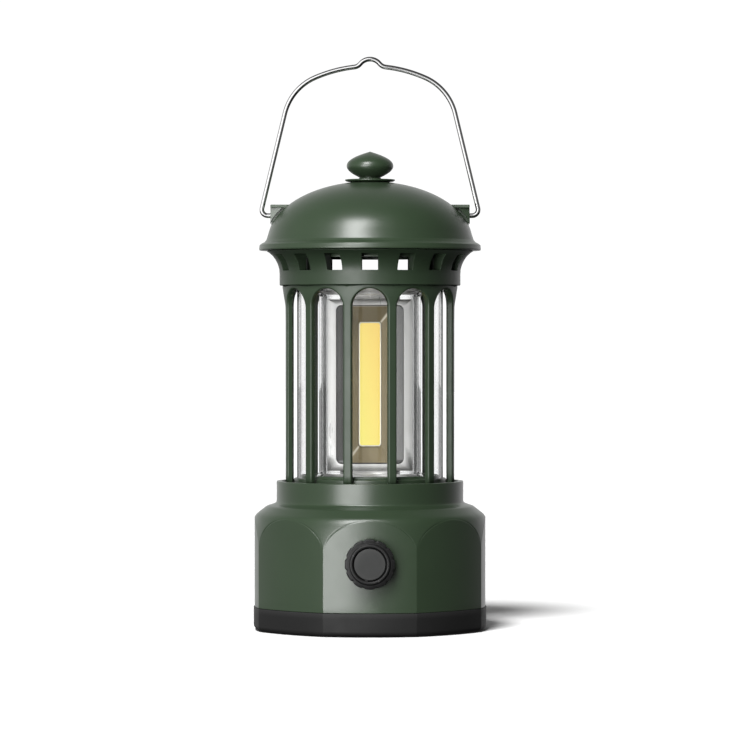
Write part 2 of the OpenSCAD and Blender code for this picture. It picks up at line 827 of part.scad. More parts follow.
bottom_cover();
battery_door();
base_housing();
battery_holder();
battery_cells();
battery_springs();
battery_contacts();
driver_board();
board_parts();
board_screws();
dimmer_pot();
pot_washer();
pot_nut();
pot_ribbon();
dimmer_shaft();
dimmer_knob();
knob_cap();
lamp_deck();
cage();
liner_tube();
lamp_tube();
reflector_core();
cob_strip_1();
cob_strip_2();
cob_strip_3();
top_plate();
gallery_ring();
roof_cap();
finial();
finial_screw();
bail_handle();
base_screws();
cage_screws();
roof_screws();
battery_leads();
lamp_leads();
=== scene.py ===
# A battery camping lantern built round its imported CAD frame: every piece that shows gets a finely
# rounded mesh and a procedural material, and the pieces inside keep their CAD shapes.
import json
import math

import bmesh
import bpy
from mathutils import Matrix, Vector

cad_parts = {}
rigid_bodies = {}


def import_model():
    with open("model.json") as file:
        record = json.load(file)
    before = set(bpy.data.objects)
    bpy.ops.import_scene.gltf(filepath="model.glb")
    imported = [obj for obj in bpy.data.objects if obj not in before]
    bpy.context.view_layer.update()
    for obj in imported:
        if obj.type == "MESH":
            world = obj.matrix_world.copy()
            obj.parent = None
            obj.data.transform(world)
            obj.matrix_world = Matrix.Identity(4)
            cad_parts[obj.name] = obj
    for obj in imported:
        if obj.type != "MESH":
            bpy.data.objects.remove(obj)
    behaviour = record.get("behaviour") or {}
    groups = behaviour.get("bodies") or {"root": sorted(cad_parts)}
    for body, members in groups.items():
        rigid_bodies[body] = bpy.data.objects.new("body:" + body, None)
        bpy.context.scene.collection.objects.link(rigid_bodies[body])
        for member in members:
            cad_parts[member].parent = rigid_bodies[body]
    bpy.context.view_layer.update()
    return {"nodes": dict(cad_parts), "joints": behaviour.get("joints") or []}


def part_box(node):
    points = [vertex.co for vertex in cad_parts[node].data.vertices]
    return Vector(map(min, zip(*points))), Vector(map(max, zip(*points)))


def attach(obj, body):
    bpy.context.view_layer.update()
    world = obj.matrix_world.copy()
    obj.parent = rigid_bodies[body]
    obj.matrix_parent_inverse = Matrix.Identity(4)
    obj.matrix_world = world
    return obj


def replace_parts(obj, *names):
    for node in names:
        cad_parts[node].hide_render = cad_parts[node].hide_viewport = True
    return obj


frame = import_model()

MM = 0.001
TAU = 2 * math.pi


# -------------------- scene and shader node helpers

def place(name, data):
    """Puts data into the scene as a new object."""
    made = bpy.data.objects.new(name, data)
    bpy.context.scene.collection.objects.link(made)
    return made


def turn_back_along(thing, away):
    """Turns a lamp or the camera so that it looks against a direction, with its top side up."""
    thing.rotation_mode = "QUATERNION"
    thing.rotation_quaternion = away.to_track_quat("Z", "Y")


def new_tree(holder):
    """Empties a node tree and returns it."""
    holder.use_nodes = True
    holder.node_tree.nodes.clear()
    return holder.node_tree


def feed(tree, node, inputs):
    """Fills in a node's inputs: another node's output is linked, anything else is set as a plain value."""
    for key, value in inputs.items():
        if isinstance(value, bpy.types.NodeSocket):
            tree.links.new(value, node.inputs[key])
        else:
            node.inputs[key].default_value = value


def add(tree, kind, inputs=None):
    """A new shader node with its inputs filled in."""
    node = tree.nodes.new(kind)
    feed(tree, node, inputs or {})
    return node


def maths(tree, operation, *values):
    node = add(tree, "ShaderNodeMath", dict(enumerate(values)))
    node.operation = operation
    return node.outputs[0]


def span(tree, value, from_low, from_high, to_low, to_high):
    """Maps one range of values onto another and stays within its ends."""
    return add(tree, "ShaderNodeMapRange", {
        "Value": value, "From Min": from_low, "From Max": from_high, "To Min": to_low, "To Max": to_high,
    }).outputs[0]


def blend_colours(tree, factor, a, b):
    """Mixes two colours; each is a socket or a plain colour."""
    node = add(tree, "ShaderNodeMix")
    node.data_type = "RGBA"
    first, second = ((*c, 1) if isinstance(c, tuple) else c for c in (a, b))
    feed(tree, node, {0: factor, 6: first, 7: second})
    return node.outputs[2]


def mix_shaders(tree, factor, a, b, output):
    """Blends two shaders and puts the result on a new output node."""
    mix = add(tree, "ShaderNodeMixShader", {0: factor, 1: a.outputs[0], 2: b.outputs[0]})
    add(tree, output, {"Surface": mix.outputs[0]})


def mapped_noise(tree, per_mm, detail=2.0, stretch=(1, 1, 1)):
    """Noise whose features are about 1/per_mm millimetres across."""
    coords = add(tree, "ShaderNodeTexCoord")
    mapping = add(tree, "ShaderNodeMapping", {
        "Vector": coords.outputs["Object"], "Scale": [1000 * per_mm * s for s in stretch],
    })
    noise = add(tree, "ShaderNodeTexNoise", {"Vector": mapping.outputs[0], "Scale": 1.0, "Detail": detail})
    return noise.outputs[0]


# -------------------- camera, lights, floor

EYE = Vector((0.002, -1.56, 0.1195))
EYE_AIM = Vector((0.002, 0, 0.1015))
LENS, SENSOR = 187, 36
LIGHT_AIM = Vector((0, 0, 0.12))
# Softboxes: azimuth and elevation in degrees, distance, width and height in metres, and power in watts.
SOFTBOXES = {
    "key_softbox": (-18, 40, 1.3, 0.50, 0.95, 32),
    "front_strip": (-23, -5, 1.5, 0.90, 0.70, 23.5),
    "left_fill": (-90, 50, 1.3, 0.90, 0.90, 5),
    "wire_card": (-32, 10, 1.5, 1.80, 2.40, 16),
    "core_card": (35, 35, 1.3, 0.50, 0.80, 27),
}
SUN_POWER, SUN_ANGLE, SUN_FROM = 5.5, 16, Vector((-0.25, -0.70, 1.0))
FLOOR_REACH, FLOOR_Z = 6.0, -0.0002
FLOOR_UNSEEN, FLOOR_SEEN = 0.03, 0.72


def make_camera():
    data = bpy.data.cameras.new("camera")
    data.sensor_width, data.lens = SENSOR, LENS
    camera = place("camera", data)
    camera.location = EYE
    turn_back_along(camera, EYE - EYE_AIM)
    bpy.context.scene.camera = camera


def area_light(name, azimuth, elevation, distance, width, height, power):
    """A softbox that faces the lantern. Azimuth counts from the front towards +X."""
    data = bpy.data.lights.new(name, "AREA")
    data.shape = "RECTANGLE"
    data.size, data.size_y = width, height
    data.energy = power
    lamp = place(name, data)
    a, e = math.radians(azimuth), math.radians(elevation)
    away = Vector((math.sin(a) * math.cos(e), -math.cos(a) * math.cos(e), math.sin(e)))
    lamp.location = LIGHT_AIM + away * distance
    turn_back_along(lamp, away)
    lamp.visible_camera = False


def make_lights():
    for name, settings in SOFTBOXES.items():
        area_light(name, *settings)
    data = bpy.data.lights.new("soft_sun", "SUN")
    data.energy, data.angle = SUN_POWER, math.radians(SUN_ANGLE)
    sun = place("soft_sun", data)
    turn_back_along(sun, SUN_FROM)
    sun.visible_glossy = bpy.data.objects["left_fill"].visible_glossy = False


# Brightness of the studio round the lantern: (azimuth from the front towards +X, brightness).
STUDIO = [(-180, 1.15), (-158, 1.05), (-136, 0.92), (-112, 0.58), (-80, 0.49), (-35, 0.43), (0, 0.33),
          (35, 0.15), (62, 0.07), (90, 0.14), (105, 0.18), (118, 0.36), (135, 0.70), (158, 1.05), (180, 1.15)]
# How the studio darkens with height: from and to (0 is the horizon, 1 straight up), and the factors there.
OVERHEAD = (0.12, 0.85, 1.0, 0.22)
BELOW = (-0.30, -0.04, 0.08)
BACKDROP = 1.05
MIRROR_LOSS = 0.72


def make_world():
    """White behind everything, with brighter and darker walls round it so that gloss has something to show."""
    world = bpy.data.worlds.new("studio")
    bpy.context.scene.world = world
    tree = new_tree(world)
    coords = add(tree, "ShaderNodeTexCoord")
    split = add(tree, "ShaderNodeSeparateXYZ", {0: coords.outputs["Generated"]})
    azimuth = maths(tree, "ARCTAN2", split.outputs["X"], maths(tree, "MULTIPLY", split.outputs["Y"], -1.0))
    ramp = add(tree, "ShaderNodeValToRGB", {0: maths(tree, "MULTIPLY_ADD", azimuth, 1 / TAU, 0.5)})
    stops = ramp.color_ramp.elements
    stops.remove(stops[1])
    for index, (angle, grey) in enumerate(STUDIO):
        stop = stops[0] if index == 0 else stops.new(0.5 + angle / 360)
        stop.position = 0.5 + angle / 360
        stop.color = (grey, grey, grey, 1)
    dim_overhead = span(tree, split.outputs["Z"], *OVERHEAD)
    dim_below = span(tree, split.outputs["Z"], *BELOW, dim_overhead)
    studio = add(tree, "ShaderNodeBackground", {"Color": ramp.outputs["Color"], "Strength": dim_below})
    seen = add(tree, "ShaderNodeBackground", {"Color": (1, 1, 1, 1), "Strength": BACKDROP})
    path = add(tree, "ShaderNodeLightPath")
    mix_shaders(tree, path.outputs["Is Camera Ray"], studio, seen, "ShaderNodeOutputWorld")


def seen_directly(tree):
    """1 for what is looked at, straight or through the clear plastic, less for what is seen in a mirror
    behind the plastic, and 0 for what only lights the lantern."""
    path = add(tree, "ShaderNodeLightPath")
    either = maths(tree, "MAXIMUM", path.outputs["Is Camera Ray"], path.outputs["Is Transmission Ray"])
    mirrored = maths(tree, "MINIMUM", path.outputs["Glossy Depth"], 1.0)
    return maths(tree, "MULTIPLY", either, maths(tree, "MULTIPLY_ADD", mirrored, -MIRROR_LOSS, 1.0))


def make_floor():
    """A pale floor that is clear from below, so that the underside can be looked at."""
    mesh = bpy.data.meshes.new("floor")
    corners = ((-1, -1), (1, -1), (1, 1), (-1, 1))
    mesh.from_pydata([(x * FLOOR_REACH, y * FLOOR_REACH, FLOOR_Z) for x, y in corners], [], [(0, 1, 2, 3)])
    floor = place("floor", mesh)
    paint = bpy.data.materials.new("floor_paint")
    tree = new_tree(paint)
    shade = span(tree, seen_directly(tree), 0, 1, FLOOR_UNSEEN, FLOOR_SEEN)
    white = add(tree, "ShaderNodeBsdfDiffuse", {"Color": shade})
    clear = add(tree, "ShaderNodeBsdfTransparent")
    geometry = add(tree, "ShaderNodeNewGeometry")
    mix_shaders(tree, geometry.outputs["Backfacing"], white, clear, "ShaderNodeOutputMaterial")
    mesh.materials.append(paint)
    floor.visible_glossy = False


bpy.context.scene.view_settings.view_transform = "Standard"
make_camera()
make_lights()
make_world()
make_floor()


# -------------------- materials

def principled(name):
    """A new material with a Principled shader on its output."""
    paint = bpy.data.materials.new(name)
    tree = new_tree(paint)
    shader = add(tree, "ShaderNodeBsdfPrincipled")
    add(tree, "ShaderNodeOutputMaterial", {"Surface": shader.outputs[0]})
    return paint, tree, shader


def relief(tree, height, strength, depth):
    """Fine bumps, their depth in millimetres."""
    bump = add(tree, "ShaderNodeBump", {"Strength": strength, "Distance": depth * MM, "Height": height})
    return bump.outputs[0]


def surface(name, colour, rough, rough_span=0.08, metallic=0.0, mottle=0.06, grain=2.5, grain_depth=0.012,
            stretch=(1, 1, 1), wear=0.25, wear_colour=None, specular=0.5):
    """A moulded or metal surface: slow colour drift, fine grain in colour and bump, and paler edges."""
    paint, tree, shader = principled(name)
    darker = tuple(c * (1 - mottle) for c in colour)
    lighter = tuple(min(1.0, c * (1 + mottle)) for c in colour)
    drift = mapped_noise(tree, 0.06, 3.0, stretch)
    base = blend_colours(tree, span(tree, drift, 0.3, 0.7, 0, 1), darker, lighter)
    fine = mapped_noise(tree, grain, 3.0, stretch)
    speck = blend_colours(tree, span(tree, fine, 0.35, 0.75, 0, 0.35), base, lighter)
    geometry = add(tree, "ShaderNodeNewGeometry")
    edge = span(tree, geometry.outputs["Pointiness"], 0.52, 0.60, 0, wear)
    worn = wear_colour or tuple(min(1.0, c * 1.5 + 0.02) for c in colour)
    smudge = mapped_noise(tree, 0.18, 4.0, stretch)
    feed(tree, shader, {
        "Base Color": blend_colours(tree, edge, speck, worn),
        "Roughness": span(tree, smudge, 0.25, 0.75, rough - rough_span / 2, rough + rough_span / 2),
        "Normal": relief(tree, fine, 0.35, grain_depth),
        "Metallic": metallic,
        "Specular IOR Level": specular,
    })
    return paint


def clear_plastic(name, ior, shade_band, grey):
    """Clear plastic with faint wiping marks. Over a band of slants its colour turns grey: painted shade standing
    in for the darkening that refraction gives a wall's edge.
    """
    paint, tree, shader = principled(name)
    haze = mapped_noise(tree, 0.10, 3.0, (1, 1, 0.3))
    clean = blend_colours(tree, span(tree, haze, 0.35, 0.65, 0, 1), (0.985, 0.99, 0.99), (1.0, 1.0, 1.0))
    slant = add(tree, "ShaderNodeLayerWeight", {"Blend": 0.5}).outputs["Facing"]
    rise, fall = span(tree, slant, shade_band[0], shade_band[1], 0, 1), span(tree, slant, shade_band[2], shade_band[3], 1, 0)
    # The grey over this band of slants is painted shade at the clear walls' edges.
    edge = maths(tree, "MULTIPLY", rise, fall)
    wipe = mapped_noise(tree, 0.5, 4.0, (1, 1, 0.1))
    feed(tree, shader, {
        "Base Color": blend_colours(tree, edge, clean, (grey, grey, grey)),
        "Roughness": span(tree, wipe, 0.35, 0.75, 0.0, 0.002),
        "Normal": relief(tree, wipe, 0.05, 0.00005),
        "Transmission Weight": 1.0,
        "IOR": ior,
    })
    return paint


def glowing_phosphor(name, low_z, high_z, half_width):
    """Lit phosphor: paler low and to the left, deeper towards the top right, with fine grains."""
    paint, tree, shader = principled(name)
    coords = add(tree, "ShaderNodeTexCoord")
    split = add(tree, "ShaderNodeSeparateXYZ", {0: coords.outputs["Object"]})
    up = span(tree, split.outputs["Z"], low_z * MM, high_z * MM, 0.0, 0.55)
    across = span(tree, split.outputs["X"], -half_width * MM, half_width * MM, 0.0, 0.5)
    lit = blend_colours(tree, maths(tree, "ADD", up, across), (1.0, 0.93, 0.22), (1.0, 0.68, 0.18))
    grains = mapped_noise(tree, 1.6)
    feed(tree, shader, {
        "Emission Color": blend_colours(tree, span(tree, grains, 0.3, 0.7, 0, 0.16), lit, (1.0, 0.90, 0.32)),
        "Emission Strength": 0.93,
        "Specular IOR Level": 0.2,
        "Base Color": (0.06, 0.045, 0.01, 1),
        "Roughness": span(tree, grains, 0.3, 0.7, 0.35, 0.5),
        "Normal": relief(tree, grains, 0.4, 0.03),
    })
    return paint


GREEN = surface("green_shell", (0.0175, 0.0295, 0.0155), 0.33, rough_span=0.03, mottle=0.04, wear=0.30)
# A duller copy of the shell's green for the gallery and cage; its slightly darker base colour is painted shade.
GREEN_MATT_SHADED = surface("green_gallery_painted_shade", (0.0155, 0.0265, 0.0140), 0.42, mottle=0.05, wear=0.30, specular=0.35)
BLACK = surface("black_shell", (0.0095, 0.0095, 0.0095), 0.54, mottle=0.10, grain=3.0, grain_depth=0.02,
                wear=0.35, wear_colour=(0.06, 0.06, 0.06), specular=0.12)
KNOB_BLACK = surface("knob_black", (0.0045, 0.0045, 0.0045), 0.36, mottle=0.10, grain=4.0, wear=0.4,
                     wear_colour=(0.06, 0.06, 0.06), specular=0.12)
DISC_GREY = surface("disc_grey", (0.011, 0.0115, 0.011), 0.55, mottle=0.05, grain=5.0, grain_depth=0.03,
                    wear=0.3, wear_colour=(0.10, 0.10, 0.10), specular=0.28)
# Both clear plastics carry painted shade: grey over a band of slants near each wall's edge.
CLEAR = clear_plastic("clear_shell", 1.22, (0.70, 0.84, 1.2, 1.3), 0.02)
CLEAR_THICK = clear_plastic("clear_core_tube", 1.49, (0.36, 0.50, 0.66, 0.86), 0.42)
SILVER = surface("satin_silver", (0.45, 0.45, 0.44), 0.30, metallic=0.35, mottle=0.04, grain=1.5,
                 grain_depth=0.006, stretch=(1, 1, 0.15), wear=0.3, wear_colour=(0.95, 0.95, 0.95))
# Tray tones of the core: a darker grey that is partly the tray's own and partly painted shade in the recess, and a
# warm brown that is a painted reflection on the silver slopes.
RECESS_SHADE = surface("recess_grey_painted_shade", (0.047, 0.047, 0.045), 0.35, metallic=0.5, mottle=0.08, grain=1.5,
                 grain_depth=0.006, stretch=(1, 1, 0.2), wear=0.3, wear_colour=(0.4, 0.4, 0.4))
WARM_REFLECTION = surface("reflector_painted_warm_reflection", (0.150, 0.122, 0.066), 0.38, metallic=0.4, mottle=0.08, grain=1.2,
               grain_depth=0.008, wear=0.5, wear_colour=(0.55, 0.52, 0.44))
WIRE = surface("polished_wire", (0.80, 0.80, 0.80), 0.12, rough_span=0.05, metallic=1.0, mottle=0.05,
               grain=0.8, grain_depth=0.0008, wear=0.0)
STEEL = surface("screw_plating", (0.62, 0.62, 0.60), 0.28, metallic=1.0, mottle=0.12, grain=4.0)
BRASS = surface("contact_metal", (0.72, 0.55, 0.28), 0.30, metallic=1.0, mottle=0.12, grain=4.0)
SLEEVE = surface("cell_wrap", (0.34, 0.36, 0.38), 0.35, mottle=0.08, grain=1.0, stretch=(1, 0.1, 1))
BOARD = surface("board_mask", (0.02, 0.11, 0.05), 0.30, mottle=0.12, grain=1.2)
CHIPS = surface("chip_black", (0.018, 0.018, 0.02), 0.5, mottle=0.2, grain=3.0)
CERAMIC = surface("strip_border", (0.62, 0.60, 0.50), 0.4, mottle=0.06, grain=2.0, wear=0.1)
LEAD = surface("lead_jacket", (0.45, 0.03, 0.02), 0.42, mottle=0.08, grain=2.0)


# -------------------- where things are, in millimetres

def low_high(node):
    """Lowest and highest corners of a CAD node, in millimetres."""
    low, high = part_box(node)
    return low / MM, high / MM


def bottom_z(node):
    return low_high(node)[0].z


def top_z(node):
    return low_high(node)[1].z


def outer_radius(node):
    return low_high(node)[1].x


BAND_TOP = bottom_z("base_housing")
FACE_R = outer_radius("base_housing")
HOUSING_TOP = top_z("base_housing")
LINER_LOW, LINER_TOP = bottom_z("liner_tube"), top_z("liner_tube")
LINER_R = outer_radius("liner_tube")
TUBE_LOW, TUBE_TOP = bottom_z("lamp_tube"), top_z("lamp_tube")
LIP_R = outer_radius("lamp_tube")
CAGE_LOW, CAGE_TOP = bottom_z("cage"), top_z("cage")
CAGE_BAND_R = outer_radius("cage")
PLATE_TOP, PLATE_R = top_z("top_plate"), outer_radius("top_plate")
GALLERY_LOW, GALLERY_TOP = bottom_z("gallery_ring"), top_z("gallery_ring")
GALLERY_TOP_R = outer_radius("gallery_ring")
BRIM_R = outer_radius("roof_cap")
DOME_FLAT = bottom_z("finial")
TIP_Z = top_z("finial")
KNOB_LOW, KNOB_HIGH = low_high("dimmer_knob")
KNOB_Z = (KNOB_LOW.z + KNOB_HIGH.z) / 2
KNOB_R = (KNOB_HIGH.x - KNOB_LOW.x) / 2
KNOB_BACK, KNOB_FRONT = -KNOB_HIGH.y, -KNOB_LOW.y
CAP_R = outer_radius("knob_cap")
CAP_FRONT = -low_high("knob_cap")[0].y
PIVOT_Z = next(j for j in frame["joints"] if j["name"] == "bail_swing")["pos_m"][2] / MM


# -------------------- mesh helpers

WELD_DISTANCE = 2e-7


def weld(piece):
    """Joins points that fall together and turns all faces outward."""
    bm = bmesh.new()
    bm.from_mesh(piece.data)
    bmesh.ops.remove_doubles(bm, verts=bm.verts, dist=WELD_DISTANCE)
    bmesh.ops.dissolve_degenerate(bm, edges=bm.edges, dist=WELD_DISTANCE)
    bmesh.ops.recalc_face_normals(bm, faces=bm.faces)
    bm.to_mesh(piece.data)
    bm.free()


def new_object(name, verts, faces, material, body, tone_of=None):
    """Builds a welded, smooth mesh from millimetre points and ties it to its body and slot."""
    mesh = bpy.data.meshes.new(name)
    mesh.from_pydata([Vector(v) * MM for v in verts], [], faces)
    for index, tone in (tone_of or {}).items():
        mesh.polygons[index].material_index = tone
    mesh.materials.append(material)
    piece = place(name, mesh)
    weld(piece)
    mesh.shade_smooth()
    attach(piece, body)
    return piece


def soften(piece, width=0.0, angle=35, segments=2):
    """Rounds sharp edges where a width is given, and lets large faces keep their own direction."""
    if width:
        mod = piece.modifiers.new("edge_round", "BEVEL")
        mod.width = width * MM
        mod.segments = segments
        mod.limit_method = "ANGLE"
        mod.angle_limit = math.radians(angle)
    normals = piece.modifiers.new("face_normals", "WEIGHTED_NORMAL")
    normals.weight = 50
    normals.keep_sharp = True
    return piece


def rounded(points, radii, steps=4, closed=False):
    """Points of a line whose corners are rounded by true arcs."""
    out = []
    count = len(points)
    for i, radius in enumerate(radii):
        here = Vector(points[i])
        if radius <= 0 or (not closed and i in (0, count - 1)):
            out.append((here.x, here.y))
            continue
        back = Vector(points[i - 1]) - here
        on = Vector(points[(i + 1) % count]) - here
        half = back.angle(on) / 2
        reach = min(radius / math.tan(half), back.length * 0.49, on.length * 0.49)
        start, end = here + back.normalized() * reach, here + on.normalized() * reach
        pull = math.sin(half)
        for k in range(steps + 1):
            t = k / steps
            a, b, c = (1 - t) ** 2, 2 * t * (1 - t) * pull, t ** 2
            spot = (start * a + here * b + end * c) / (a + b + c)
            out.append((spot.x, spot.y))
    return out


def loft(name, columns, material, body, skip=None):
    """A ring made of one closed outline of points at each step round it. skip(i, j) leaves a face out."""
    count, rows = len(columns), len(columns[0])
    verts = [point for column in columns for point in column]
    faces = []
    for i in range(count):
        n = (i + 1) % count
        for j in range(rows):
            k = (j + 1) % rows
            if not (skip and skip(i, j)):
                faces.append((i * rows + j, n * rows + j, n * rows + k, i * rows + k))
    return new_object(name, verts, faces, material, body)


def polar(r, theta, z):
    return (r * math.cos(theta), r * math.sin(theta), z)


def prism_faces(count):
    """Faces of a prism whose two ends have that many points each."""
    faces = [tuple(range(count)), tuple(range(count, 2 * count))]
    return faces + [(i, (i + 1) % count, count + (i + 1) % count, count + i) for i in range(count)]


def add_face(verts, faces, corners):
    """Adds a face on corner points of its own; weld() joins them to their neighbours."""
    faces.append(tuple(range(len(verts), len(verts) + len(corners))))
    verts.extend(corners)


def shift(piece, x, y):
    piece.data.transform(Matrix.Translation((x * MM, y * MM, 0)))


def lathe(name, outline, material, steps=192):
    """Turns a closed (r, z) outline about the Z axis, as a piece of the lantern."""
    columns = [[polar(r, TAU * s / steps, z) for r, z in outline] for s in range(steps)]
    return loft(name, columns, material, "lantern")


def cut(piece, cutters):
    """Takes closed cutter meshes away from a piece for good."""
    for cutter in cutters:
        mod = piece.modifiers.new("cut", "BOOLEAN")
        mod.operation = "DIFFERENCE"
        mod.solver = "EXACT"
        mod.object = cutter
    bpy.context.view_layer.update()
    graph = bpy.context.evaluated_depsgraph_get()
    mesh = bpy.data.meshes.new_from_object(piece.evaluated_get(graph))
    piece.modifiers.clear()
    piece.data = mesh
    for cutter in cutters:
        bpy.data.objects.remove(cutter)
    mesh.shade_smooth()


def drill(centre, axis, radius, length, sides=48):
    """A round cutter, in millimetres."""
    bm = bmesh.new()
    bmesh.ops.create_cone(bm, cap_ends=True, segments=sides, radius1=radius * MM, radius2=radius * MM,
                          depth=length * MM)
    turn = Vector(axis).to_track_quat("Z", "Y").to_matrix().to_4x4()
    bm.transform(Matrix.Translation(Vector(centre) * MM) @ turn)
    mesh = bpy.data.meshes.new("cutter")
    bm.to_mesh(mesh)
    bm.free()
    return place("cutter", mesh)


def box_cutter(low, high, corner=0.0):
    """An upright box cutter with rounded upright corners, in millimetres."""
    (x0, y0, z0), (x1, y1, z1) = low, high
    ring = rounded([(x0, y0), (x1, y0), (x1, y1), (x0, y1)], [corner] * 4, closed=True)
    verts = [(x, y, z) for z in (z0, z1) for x, y in ring]
    mesh = bpy.data.meshes.new("cutter")
    mesh.from_pydata([Vector(v) * MM for v in verts], [], prism_faces(len(ring)))
    cutter = place("cutter", mesh)
    weld(cutter)
    return cutter


# -------------------- base

FACETS = 8
FACET_STEP = TAU / FACETS
FACET_ARC_R = 68.0
FACET_ARC_BACK = FACET_ARC_R - FACE_R
FACET_INSET = 0.35
CORNER_R = 47.7
BODY_R = CORNER_R + 0.02
ARCH_SPRING_Z = 32.0
ARCH_RISE = 13.2
ARCH_DRAW_IN = 1.14 + FACET_INSET
FACE_ROWS, SHOULDER_ROWS = 12, 9
FOOT_CHAMFER = 0.22
RIM_WIDTH, RIM_WIDEST = 0.30, 3.5
GROOVE_DEPTH = 0.22
SHOULDER_BLEND_Z = 47.6
HOUSING_WALL = 2.3
COLLAR_BORE = 35.3
DECK_BORE, DECK_UNDER, DECK_SEAT = 30.2, 46.2, 48.2
SPINDLE_HOLE_R = 4.5
SCREW_RING_R, SCREW_HOLE_R, SCREW_HOLE_DEPTH = 39, 2.9, 3.2
OPENING_X, OPENING_Y = 22.3, 28


def from_facet_middle(theta):
    """Angle from the middle of the nearest facet."""
    return (theta + math.pi / 2 + FACET_STEP / 2) % FACET_STEP - FACET_STEP / 2


def facet_r(theta, inset=0.0):
    """Radius of the eight-sided outline; inset flattens each facet but keeps its corners."""
    phi = from_facet_middle(theta)
    r = -FACET_ARC_BACK * math.cos(phi) + math.sqrt(FACET_ARC_R ** 2 - (FACET_ARC_BACK * math.sin(phi)) ** 2)
    return r - inset * (1 - (2 * phi / FACET_STEP) ** 2)


def facet_angles(per_facet=28):
    """Angles round the base, closer together towards each corner."""
    return [-math.pi / 2 + k * FACET_STEP - FACET_STEP / 2 * math.cos(math.pi * i / per_facet)
            for k in range(FACETS) for i in range(per_facet)]


def body_r(z):
    """Radius of the round body that the arched facets are cut into."""
    return BODY_R - ARCH_DRAW_IN * ((z - ARCH_SPRING_Z) / ARCH_RISE) ** 2


# The round body, the shoulder and the foot of the collar, as (r, z).
SHOULDER = [(body_r(z), z) for z in range(32, 43)]
SHOULDER += rounded([(46.78, 42.5), (46.15, 45.5), (41.4, 49.2), (38.6, 50.1), (37.5, 50.7), (37.4, 51.8)],
                    [0, 5.0, 4, 2, 0.8, 0], 6)


def shoulder_r(z):
    """Radius of the body or shoulder at a level."""
    for (r0, z0), (r1, z1) in zip(SHOULDER, SHOULDER[1:]):
        if z0 <= z <= z1:
            return r0 + (r1 - r0) * (z - z0) / max(z1 - z0, 1e-9)
    return SHOULDER[-1][0]


def arch_height(theta):
    """Level at which a facet's arch ends, and how far the arch has risen there, from 0 to 1."""
    rise = max(0.0, (BODY_R - facet_r(theta, FACET_INSET)) / ARCH_DRAW_IN)
    return ARCH_SPRING_Z + ARCH_RISE * math.sqrt(rise), rise


def housing_column(theta):
    """The housing's outline at one angle: facet, edge of the arch, shoulder, collar, and back down inside."""
    face = facet_r(theta, FACET_INSET)
    arch_z, rise = arch_height(theta)
    slope = (arch_height(theta + 0.002)[0] - arch_height(theta - 0.002)[0]) / (0.004 * face)
    rim = RIM_WIDTH * min(RIM_WIDEST, math.hypot(1, slope))
    groove = GROOVE_DEPTH * min(1.0, 3 * rise)
    foot = BAND_TOP + FOOT_CHAMFER
    out = [(face - FOOT_CHAMFER, BAND_TOP), (face, foot)]
    for k in range(1, FACE_ROWS + 1):
        out.append((face, foot + (arch_z - rim - 0.1 - foot) * k / FACE_ROWS))
    over = arch_z + 0.12
    out += [(face - 0.12 * groove, arch_z - rim), (face - groove, arch_z), (shoulder_r(over) - 0.4 * groove, over)]
    start = arch_z + 0.34
    for k in range(SHOULDER_ROWS + 1):
        z = start + (SHOULDER_BLEND_Z - start) * k / SHOULDER_ROWS
        out.append((shoulder_r(z), z))
    out += [(r, z) for r, z in SHOULDER if z > SHOULDER_BLEND_Z + 0.1]
    collar = SHOULDER[-1][0]
    out += [(collar, z) for z in (54.0, 56.5)]
    out += rounded([(collar, 58.0), (collar, HOUSING_TOP), (COLLAR_BORE, HOUSING_TOP), (COLLAR_BORE, 57.0)],
                   [0, 0.35, 0.3, 0])[1:]
    wall = face - HOUSING_WALL
    out += [(COLLAR_BORE, DECK_SEAT), (DECK_BORE, DECK_SEAT), (DECK_BORE, DECK_UNDER), (42.6, DECK_UNDER),
            (wall, 43.0), (wall, BAND_TOP)]
    return [polar(r, theta, z) for r, z in out]


def make_base():
    angles = facet_angles()
    housing = loft("housing_shell", [housing_column(a) for a in angles], GREEN, "lantern")
    cut(housing, [drill((0, -44, KNOB_Z), (0, 1, 0), SPINDLE_HOLE_R, 12)])
    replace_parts(soften(housing), "base_housing")

    columns = []
    for a in angles:
        r = facet_r(a)
        outline = [(0, 0)] + rounded([(0, 0), (r, 0), (r, BAND_TOP)], [0, 2.0, 0], 6)[1:-1]
        outline += [(r, 4.0), (r, 6.5), (r, BAND_TOP - 0.25), (r - 0.25, BAND_TOP - 0.03),
                    (r - 2.55, BAND_TOP - 0.03), (r - 2.55, 11.0), (r - 2.75, 11.2), (r - 4, 11.2),
                    (r - 4, 2.4), (0, 2.4)]
        columns.append([polar(rr, a, z) for rr, z in outline])
    shade_band = loft("bottom_band", columns, BLACK, "lantern")
    cut(shade_band, [box_cutter((-OPENING_X, -OPENING_Y, -1), (OPENING_X, OPENING_Y, 4), 0.8)])
    screws = [polar(SCREW_RING_R, math.radians(side + off), 1.0) for side in (0, 180) for off in (-22.5, 22.5)]
    for spot in screws:
        cut(shade_band, [drill(spot, (0, 0, 1), SCREW_HOLE_R, SCREW_HOLE_DEPTH, 32)])
    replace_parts(soften(shade_band), "bottom_cover")
    for i, (x, y, _) in enumerate(screws):
        outline = [(1.6, 9.0), (3.9, 9.0), (3.9, 2.3), (2.92, 2.3), (2.92, 5.0), (1.6, 5.0)]
        cup = lathe(f"screw_cup_{i + 1}", outline, BLACK, 40)
        shift(cup, x, y)
        soften(cup)


# -------------------- dimmer knob

NOTCHES = 12
NOTCH_HALF, NOTCH_DEPTH = 0.85, 0.42
NOTCH_STEPS = 20
POINTER_AT, POINTER_HALF = math.radians(258), math.radians(5)
GROOVE, POINTER_GROOVE = 1.1, 0.30
SPINDLE_R, SPINDLE_END = 2.98, 50.4


